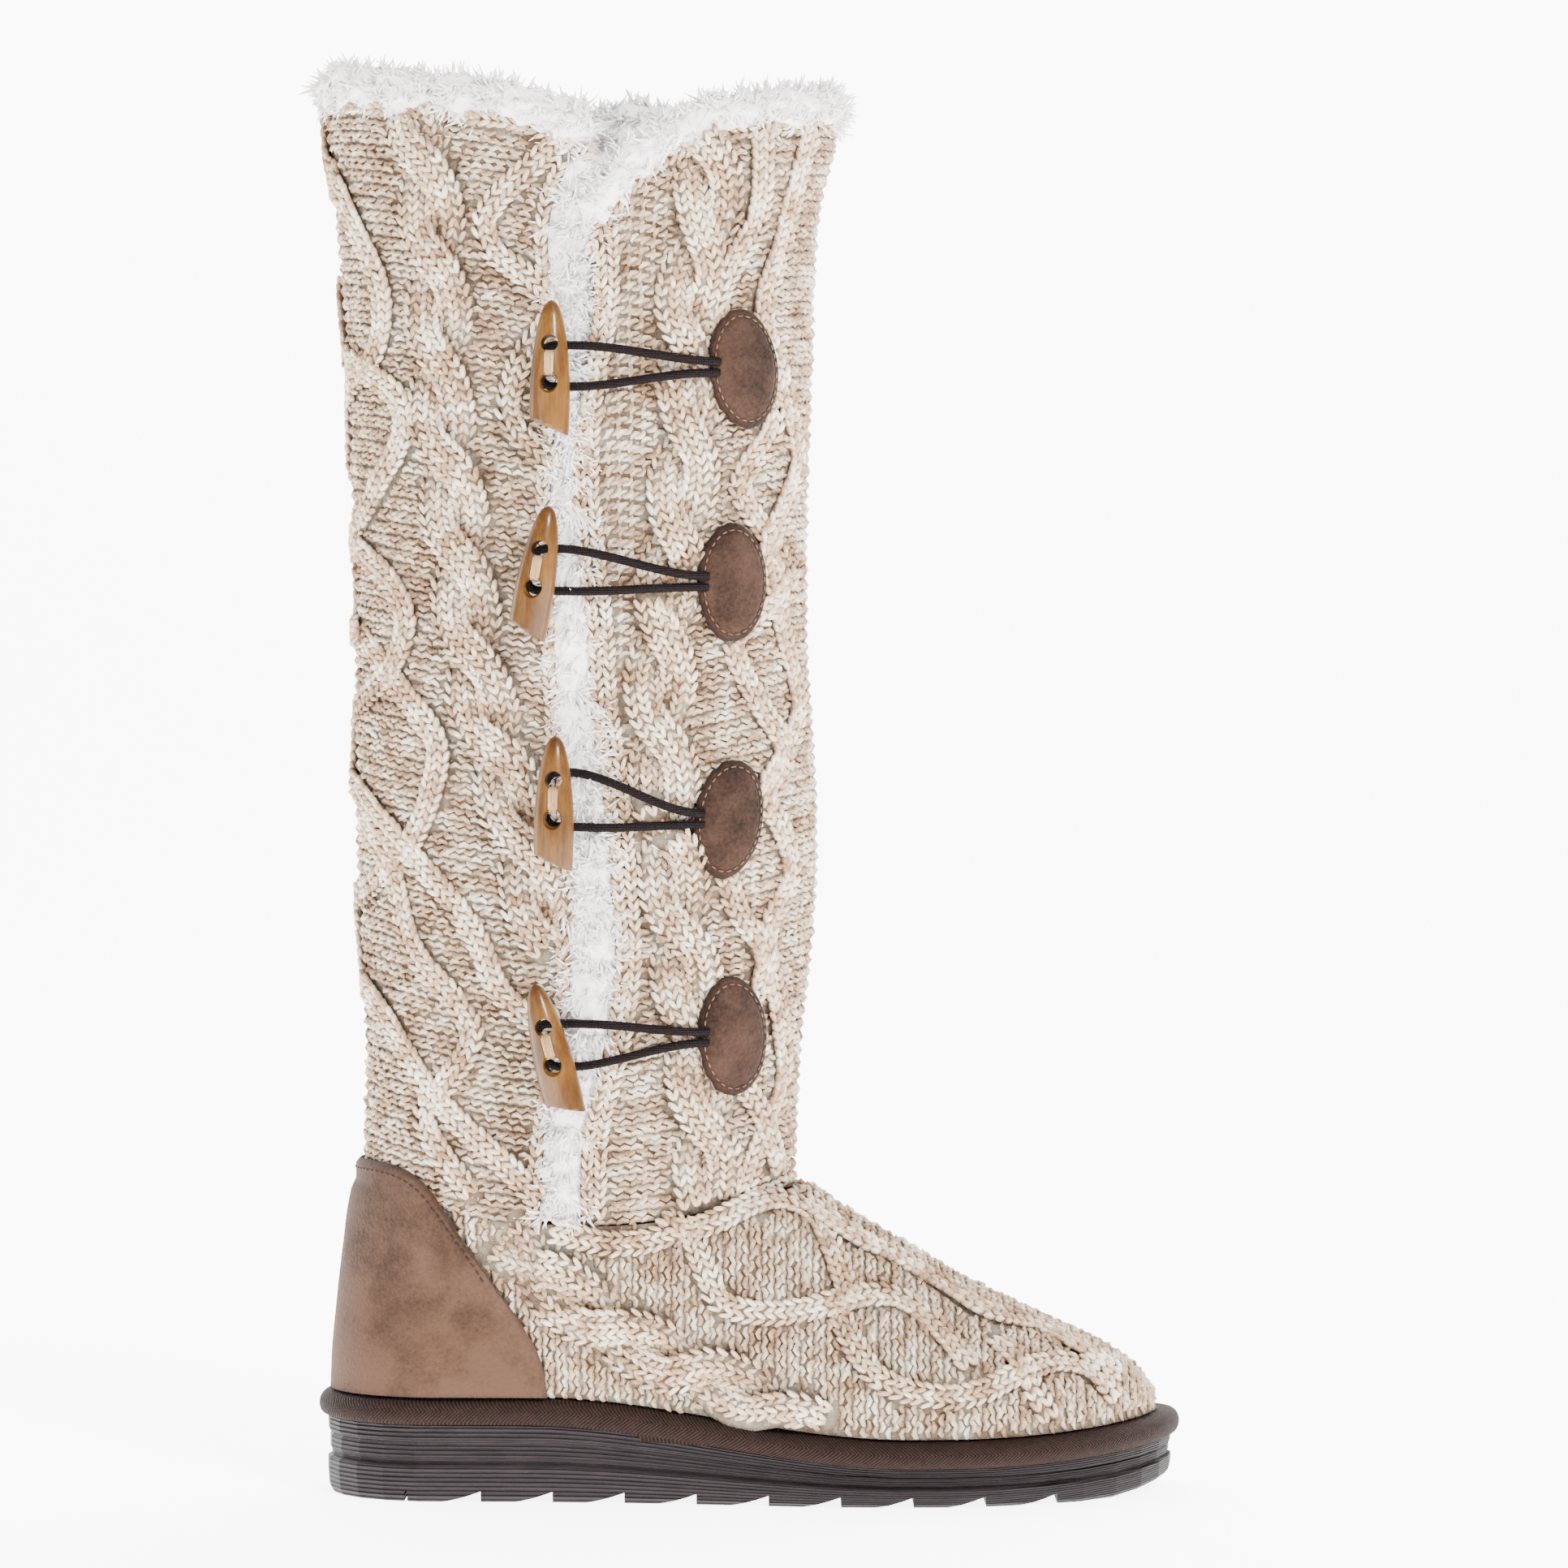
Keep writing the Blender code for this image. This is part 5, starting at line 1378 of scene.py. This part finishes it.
def strip_place(u, v):
    """Strip of pile in the opening, crowned between its knit edges."""
    row = mix(0.004, 0.985, v)
    past = 0.003 / girth(row)
    back, front = opening_edge(BACK_EDGE, row, 1) - past, opening_edge(FRONT_EDGE, row, 1) + past
    back = np.minimum(back, front - 0.010 / girth(row))
    way = mix(back, front, u)
    crown = -0.0030 + 0.0034 * np.sin(math.pi * u) ** 0.7
    point, normal = shaft.read(way, row, crown)
    return point + normal * lumps(point, 0.0008)[:, None]


add_piece("pile_roll", sheet("pile_roll", collar_place, 260, 20, 0, True), pile_white, "pile",
          "pile_collar")
add_piece("pile_strip", sheet("pile_strip", strip_place, 10, 160, 0.003), pile_white, "pile",
          "pile_placket")


# %% [markdown]
# Thousands of short curled locks give the pile its ragged edge. They stand on the roll, on the
# strip and inside the leg's top, and lean out, down or up as fleece does there. Hair particles
# could be used, but these locks are real faces that every program shows.


# %% Locks
def plant_locks(name, place, u, v, lean, length, width, seed, spread=0.25):
    """Locks on a sheet, leaning from its normal with a random spread."""
    rng = np.random.default_rng(seed)
    point = place(u, v)
    along_u = place(u + 0.002, v) - place(u - 0.002, v)
    along_v = place(u, v + 0.004) - place(u, v - 0.004)
    normal = unit(np.cross(along_u, along_v))
    combed = normal * 0.8 + lean(u, v) + tufts(point) * 1.5
    axis = unit(combed + rng.normal(0, spread, normal.shape))
    across, out, axis = upright(axis, rng.normal(0, 1, normal.shape))
    long = rng.uniform(*length, (len(u), 1))
    wide = rng.uniform(*width, (len(u), 1))
    axes = np.stack([across * wide, out * wide, axis * long], 1)
    return plant(name, LOCK, point - normal * 0.0006, axes, pile_white, "pile", seed)


def collar_lean(u, v):
    _, normal, up = collar_frames(u)
    return up * 0.35 + normal * 0.1 + np.array([0, 0, -0.1])


def strip_lean(u, v):
    return np.stack([(u - 0.5) * 2.6, np.zeros(len(u)), np.full(len(u), -0.6)], -1)


def lining_lean(u, v):
    return np.array([0, 0, 0.4])


rng = np.random.default_rng(8)
plant_locks("pile_collar_locks", collar_place, rng.uniform(0.001, 0.999, 9000),
            rng.uniform(0, 1, 9000), collar_lean, (0.0030, 0.0060), (0.00045, 0.00085), 41)
plant_locks("pile_strip_locks", strip_place, rng.uniform(0.02, 0.98, 5200),
            rng.uniform(0, 1, 5200), strip_lean, (0.0036, 0.0072), (0.00045, 0.00090), 42)
inside = shaft_place(-KNIT_WALL - 0.0022)
plant_locks("pile_lining_locks", lambda u, v: inside(1 - u, v), rng.uniform(0.01, 0.99, 2600),
            rng.uniform(0.80, 1.0, 2600), lining_lean, (0.003, 0.006), (0.0004, 0.0008), 43)


# %% [markdown]
# ## Heel counter, tape and sole
# The counter is a sheet of suede that follows the heel and goes straight up above the ankle seam.
# It could be cut out of the foot's skin, but a sheet of its own, laid from the platform to the
# curved edge, has an even grid, and so its edge can be rounded over and darkened.


# %% Heel counter
def heel_skin(angle, height, out):
    """Points beside the heel at a height, on the foot or straight above its seam."""
    found = np.zeros((len(angle), 3))
    steps = np.linspace(0, 1, 60)
    for i, (turn, level) in enumerate(zip(angle, height)):
        line = foot_point(np.full(60, turn), steps)
        rise = np.full(3, np.interp(level, line[:, 2], steps))
        before, point, after = foot_point(np.array([turn - 0.02, turn, turn + 0.02]), rise)
        tangent = after - before
        normal = unit(np.array([tangent[1], -tangent[0], 0.0]))
        found[i] = [point[0], point[1], max(level, point[2])] + normal * out[i]
    return found


WIDEST = 0.992 * math.acos(1 - 2 * COUNTER_REACH / (LAST_TOE_X - LAST_HEEL_X))


def counter_place(u, v):
    angle = mix(-WIDEST, WIDEST, u)
    x = foot_point(angle, np.zeros(len(u)))[:, 0]
    low, high = feather_height(x) + 0.0003, counter_edge(x)
    inside = np.minimum((1 - v) * (high - low), (1 - np.abs(2 * u - 1)) * 0.06 + 0.0001)
    round_off = np.sqrt(1 - (1 - np.clip(inside / 0.0016, 0, 1)) ** 2)
    return heel_skin(angle, mix(low, high, v), 0.0018 + 0.0014 * round_off)


def counter_rim(u, v):
    x = foot_point(mix(-WIDEST, WIDEST, u), np.zeros(len(u)))[:, 0]
    from_top = (1 - v) * (counter_edge(x) - feather_height(x))
    return 0.7 * (1 - ease(from_top, 0.0005, 0.0016)) + 0.5 * (1 - ease(v * 0.07, 0.0, 0.0012))


add_piece("counter", sheet("counter", counter_place, 130, 44, 0.0014, rim=counter_rim),
          suede_heel, "suede", "heel_counter")
print("counter %.0f mm high" % (COUNTER_HEIGHT * 1000))


# %% [markdown]
# A row of stitches runs just inside the counter's edge. Seams are the same small legs as the
# knit's, laid end to end at an even gap and sunk a little, as thread pulls itself into suede. A
# dashed line in the material would be flat.


# %% Seams
def lay_stitches(name, points, normals, material, slot, gap, length, width, seed):
    """A row of small stitches along points, sunk a little into what they hold."""
    run = run_along(points)
    at = np.arange(gap / 2, run[-1], gap)
    axis = resampled(at + 0.0004, run, points) - resampled(at - 0.0004, run, points)
    across, out, axis = upright(axis, unit(resampled(at, run, normals)))
    axes = np.stack([across * width, out * width, axis * length / 2], 1)
    return plant(name, LEG, resampled(at, run, points), axes, material, slot, seed)


turn = np.linspace(-0.955 * WIDEST, 0.955 * WIDEST, 400)
x = foot_point(turn, np.zeros(400))[:, 0]
line = heel_skin(turn, counter_edge(x, 0.0030), np.full(400, 0.0033))
lay_stitches("counter_stitches", line, line * [1, 1, 0] - [0.02, 0, 0], thread_brown, "suede",
             0.0027, 0.0022, 0.00036, 51)

# %% [markdown]
# The tape wraps the platform as one band that bulges and rolls inwards at its top, under the
# knit. It is laid by its real length round the sole, and its UV map is stretched to metres, so
# that the twill has one pitch all round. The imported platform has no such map, and so this stands
# for it. The outsole and the insole are right as they are and only get their finish.

# %% Taped platform
# share of the tape's side, and how far it lies inside the outline in rolls
TAPE_STEPS = (
    (0.00, 1.2), (0.12, 0.2), (0.40, -0.3), (0.70, 0.0), (0.92, 1.0), (1.00, 2.2),
)
TAPE_WIDTH, TAPE_SIDE = 0.0098, 0.86
tape_turns = np.linspace(0, 2 * math.pi, 721)
tape_run = run_along(np.column_stack(sole_point(tape_turns, 0.0)))


def tape_place(u, v):
    """The tape's outside for v up to TAPE_SIDE, then inwards over the platform's top."""
    angle = np.interp((u % 1.0) * tape_run[-1], tape_run, tape_turns)
    side, inwards = np.clip(v / TAPE_SIDE, 0, 1), np.clip((v - TAPE_SIDE) / 0.14, 0, 1)
    inset = PLATFORM_ROLL * along(TAPE_STEPS, 1, side) + 0.007 * inwards
    x, y = sole_point(angle, inset)
    return np.column_stack([x, y, outsole_top(x) + side * (PLATFORM_HEIGHT - 0.0003)])


tape_mesh = sheet("tape", tape_place, 360, 22, 0, True)
shares = np.zeros(len(tape_mesh.loops) * 2)
tape_mesh.uv_layers[0].data.foreach_get("uv", shares)
shares = shares.reshape(-1, 2) * [tape_run[-1], TAPE_WIDTH]
tape_mesh.uv_layers[0].data.foreach_set("uv", shares.reshape(-1))
add_piece("platform_tape", tape_mesh, tape_brown, "tape", "platform")
bpy.data.objects["outsole"].material_slots[0].material = rubber_black
bpy.data.objects["insole"].material_slots[0].material = pile_white
print("tape %.0f mm long" % (tape_run[-1] * 1000))

# %% [markdown]
# ## Fastenings
# Each toggle is turned like a horn, cut off at a slant and bored twice, with a shallow slot for
# its thread. It is made here as a turner would: a profile is spun, a plane cuts the lower end,
# and its edge is bevelled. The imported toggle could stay, but its few sides would show in the
# varnish's shine.

# %% Toggle blank
TOGGLE_OUTLINE = (
    (-0.16, 0.95), (0.20, 1.00), (0.45, 0.96), (0.68, 0.80), (0.86, 0.58), (0.94, 0.40),
    (0.98, 0.22), (1.00, 0.00),
)


def spun(bm, profile, axis, centre, steps):
    """Turns a profile of points round an axis."""
    verts = [bm.verts.new(point) for point in profile]
    edges = [bm.edges.new(pair) for pair in zip(verts, verts[1:])]
    bmesh.ops.spin(bm, geom=verts + edges, axis=axis, cent=centre, steps=steps,
                   angle=2 * math.pi, use_merge=True)
    bmesh.ops.remove_doubles(bm, verts=bm.verts, dist=1e-6)


def toggle_body():
    bm = bmesh.new()
    shares = np.concatenate([np.linspace(-0.16, 0.9, 30), np.linspace(0.91, 1.0, 12)])
    radii = np.maximum(along(TOGGLE_OUTLINE, 1, shares), 0) * TOGGLE_RADIUS
    radii[-1] = 0
    spun(bm, [(r, 0, (s - 0.5) * TOGGLE_LENGTH) for s, r in zip(shares, radii)], (0, 0, 1),
         (0, 0, 0), 48)
    normal = Matrix.Rotation(math.radians(24), 3, "Y") @ Vector((0, 0, 1))
    bmesh.ops.bisect_plane(bm, geom=bm.verts[:] + bm.edges[:] + bm.faces[:], clear_inner=True,
                           plane_co=(0, 0, -TOGGLE_LENGTH / 2), plane_no=normal)
    cut = [e for e in bm.edges if e.is_boundary]
    bmesh.ops.holes_fill(bm, edges=cut, sides=0)
    bmesh.ops.bevel(bm, geom=cut, offset=0.0007, segments=3, profile=0.5, affect="EDGES",
                    material=-1)
    return mesh_from(bm, "toggle_body")


# %% [markdown]
# The bores are countersunk, so light catches their rims. Two spun cutters and a bevelled box for
# the slot are taken out of the blank by Boolean modifiers with the exact solver, which keeps the
# mesh closed. Modelling the holes into the grid would leave pinched faces round them.


# %% Toggle bores and slot
def toggle_bores():
    """Two countersunk holes."""
    bm = bmesh.new()
    for side in (-1, 1):
        centre = side * HOLE_SPACING / 2
        half = ((0.0, 0.0095), (0.0056, 0.0095), (0.0035, 0.0061), (HOLE_RADIUS, 0.0050))
        profile = half + tuple((r, -y) for r, y in reversed(half))
        spun(bm, [(r, y, centre) for r, y in profile], (0, 1, 0), (0, 0, centre), 28)
    return mesh_from(bm, "toggle_bores")


def toggle_slot():
    """A box with rounded edges that joins the two holes at the front."""
    bm = bmesh.new()
    size = Matrix.Diagonal((0.0040, 0.0030, HOLE_SPACING, 1))
    bmesh.ops.create_cube(bm, size=1, matrix=Matrix.Translation((0, -0.0068, 0)) @ size)
    upright_edges = [e for e in bm.edges if abs(e.verts[0].co.z - e.verts[1].co.z) > 0.005]
    bmesh.ops.bevel(bm, geom=upright_edges, offset=0.0008, segments=2, profile=0.5, affect="EDGES",
                    material=-1)
    return mesh_from(bm, "toggle_slot")


body = add_object("toggle_body", toggle_body())
cutters = [add_object("cutter", mesh) for mesh in (toggle_bores(), toggle_slot())]
for cutter in cutters:
    boolean = body.modifiers.new("cut", "BOOLEAN")
    boolean.object = cutter
    boolean.solver = "EXACT"
toggle_mesh = applied(body)
for cutter in cutters:
    bpy.data.objects.remove(cutter)
# darker towards the tip, and inside the bores as painted shade
rims = []
for vert in toggle_mesh.vertices:
    tip = ease(vert.co.z / TOGGLE_LENGTH, 0.30, 0.52) * 0.6
    deep = ease(TOGGLE_RADIUS * 0.9 - math.hypot(vert.co.x, vert.co.y), 0.0008, 0.0030)
    rims.append(float(max(tip, deep if abs(vert.co.z) < 0.010 else 0)))
mark(toggle_mesh, "rim", rims)
print("toggle", len(toggle_mesh.polygons), "faces")


# %% [markdown]
# The four toggles hang on the shaft at their own leans, each tied by a few threads through its
# holes. All are one shape, so a copy of it is moved by a matrix, and the threads are planted with
# the same matrix. The move is put into the mesh, so that the finished object stays at the origin.


# %% Toggles and ties
def toggle_frame(fastening):
    """A toggle's frame: X across it, Y inwards, Z up its own axis."""
    x, z = side_place(fastening[0], fastening[1])
    points, normals = side_skin(np.array([x]), np.array([z]))
    point, normal = Vector(points[0]), Vector(normals[0])
    normal.z = 0
    normal.normalize()
    toe_ward = Vector((-normal.y, normal.x, 0))
    lean = math.radians(fastening[2])
    axis = Vector((0, 0, 1)) * math.cos(lean) - toe_ward * math.sin(lean)
    turned = Matrix((axis.cross(normal), -normal, axis)).transposed().to_4x4()
    return Matrix.Translation(point + normal * TOGGLE_OUT) @ turned


for i, fastening in enumerate(FASTENINGS, 1):
    placing = toggle_frame(fastening)
    mesh = toggle_mesh.copy()
    mesh.transform(placing)
    mesh.set_sharp_from_angle(angle=math.radians(38))
    add_piece("toggle_horn_%d" % i, mesh, wood_varnished, "wood", "toggle_%d" % i)
    turned = np.array(placing.to_3x3())
    spots = np.array([[(k - 3) * 0.00042, -0.0056 - 0.00012 * (k % 2), 0] for k in range(7)])
    places = spots @ turned.T + np.array(placing.translation)
    axes = np.array([[[-0.00023, 0, 0], [0, -0.00030, 0], [0, 0, 0.0040]]] * 7) @ turned.T
    plant("tie_%d" % i, THREAD, places, axes, thread_beige, "thread", 60 + i, "toggle_tie_%d" % i)
print("toggles", len(FASTENINGS))


# %% [markdown]
# An elastic loop comes out from under its patch, goes round the toggle's thread and back. Its two
# sides part towards the toggle and follow the leg's curve. A curve with a round bevel is the
# plainest way to make a cord, and it is turned into a mesh at once.


# %% Loops
def loop_route(fastening):
    toggle_x, toggle_z = side_place(fastening[0], fastening[1])
    patch_x, patch_z = side_place(fastening[3], fastening[4])
    lean = math.tan(math.radians(fastening[2]))
    half = fastening[6] * HOLE_SPACING / 2
    share = np.linspace(0, 1, 26)
    middle = mix(patch_z, toggle_z, ease(share, 0, 1))
    apart = mix(CORD_RADIUS + 0.0003, half, ease(share, 0, 0.9))
    x = mix(patch_x - PATCH_WIDTH / 2 + 0.0025, toggle_x, share)
    turn = math.pi * np.linspace(0.1, 0.9, 9)
    around_x, around_z = toggle_x - 0.0045 * np.sin(turn), toggle_z + half * np.cos(turn)
    x = np.concatenate([x, around_x, x[::-1]])
    z = np.concatenate([middle + apart, around_z, (middle - apart)[::-1]])
    near = 1 - ease(x - toggle_x, 0.1 * TOGGLE_LENGTH, 0.5 * TOGGLE_LENGTH)
    sag = 0.0006 * np.sin(np.linspace(0, 5, len(x)))
    return side_skin(x - (z - toggle_z) * lean * near, z, CORD_OUT + sag)[0]


for i, fastening in enumerate(FASTENINGS, 1):
    points = loop_route(fastening)
    curve = bpy.data.curves.new("loop", "CURVE")
    curve.dimensions = "3D"
    curve.bevel_depth = CORD_RADIUS
    curve.bevel_resolution = 4
    curve.use_fill_caps = True
    spline = curve.splines.new("POLY")
    spline.points.add(len(points) - 1)
    spline.points.foreach_set("co", np.column_stack([points, np.ones(len(points))]).reshape(-1))
    spline.use_smooth = True
    add_piece("elastic_%d" % i, applied(add_object("loop", curve)), elastic_braid, "elastic",
              "loop_%d" % i)
    print("loop %d, %.0f mm long" % (i, run_along(points)[-1] * 1000))


# %% [markdown]
# The patch is an oval of suede whose rim is folded under, sewn down and a little puckered, most of
# all where the cord pulls on it. A ball is pressed onto the leg's skin: its top half becomes the
# soft cushion with a groove for the seam, and its lower half the flat back. A thickened disc could
# serve, but the ball is round at its rim from the start.


# %% Patches
def patch_mesh(fastening, seed):
    """A patch and the line of its stitches."""
    phases = np.random.default_rng(seed).uniform(0, 6.28, 3)
    centre_x, centre_z = side_place(fastening[3], fastening[4])
    lean = math.radians(fastening[5])

    def laid(across, up, out):
        across, up = PATCH_WIDTH / 2 * across, PATCH_HEIGHT / 2 * up
        x = centre_x + across * math.cos(lean) - up * math.sin(lean)
        return side_skin(x, centre_z + across * math.sin(lean) + up * math.cos(lean), out)

    bm = bmesh.new()
    bmesh.ops.create_uvsphere(bm, u_segments=72, v_segments=36, radius=1.0)
    flat = np.array([vert.co[:] for vert in bm.verts])
    radius = np.hypot(flat[:, 0], flat[:, 1])
    turn = np.arctan2(flat[:, 1], flat[:, 0])
    pucker = 0.016 * ease(-np.cos(turn), -0.5, 0.8)
    wave = 1 + 0.006 * np.sin(5 * turn + phases[0]) + pucker * np.sin(13 * turn + phases[1])
    wave += pucker * np.sin(22 * turn + phases[2])
    groove = 0.0006 * np.exp(-(((radius - 0.87) / 0.035) ** 2))
    top = 0.0017 * np.sqrt(np.clip(1 - radius**9, 0, 1)) + 0.0010 * (1 - radius**2) - groove
    points = laid(flat[:, 0] * wave, flat[:, 1] * wave,
                  CREST + np.where(flat[:, 2] > 0, np.maximum(top, 0), 0.0))[0]
    rim = bm.verts.layers.float.new("rim")
    edge = ease(radius, 0.90, 0.97) * 0.8 + np.exp(-(((radius - 0.885) / 0.02) ** 2)) * 0.5
    for vert, point, value in zip(bm.verts, points, edge):
        vert.co = point
        vert[rim] = min(value, 1.0)
    loop = np.linspace(0, 2 * math.pi, 200)
    line = laid(0.87 * np.cos(loop), 0.875 * np.sin(loop), np.full(200, CREST + 0.0017))
    return mesh_from(bm, "patch"), line


for i, fastening in enumerate(FASTENINGS, 1):
    mesh, line = patch_mesh(fastening, 70 + i)
    add_piece("patch_oval_%d" % i, mesh, suede_patch, "suede", "patch_%d" % i)
    lay_stitches("patch_stitches_%d" % i, *line, thread_tan, "thread", 0.0027, 0.0019, 0.00030,
                 75 + i)
print("patches", len(FASTENINGS))

# %% [markdown]
# A row of small stitches under the collar holds the pile's trim. It follows the collar's edge a
# little below it, and uses the ground's yarn, so that it is seen only from near.

# %% Hem stitches
hem = np.linspace(collar[0] + 0.012, collar[-1] - 0.012, 900)
line = shaft.read(hem, np.full(900, 0.976), np.full(900, 0.0012))
lay_stitches("hem_stitches", *line, yarn_ground, "knit", 0.0030, 0.0021, 0.00034, 80)

# %% [markdown]
# ## Sizes and finish
# The box of all that is shown is printed before the scene is closed.

# %% Write the sizes and finish
low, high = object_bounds()
print("box", [round(v * 1000) for v in low], [round(v * 1000) for v in high])
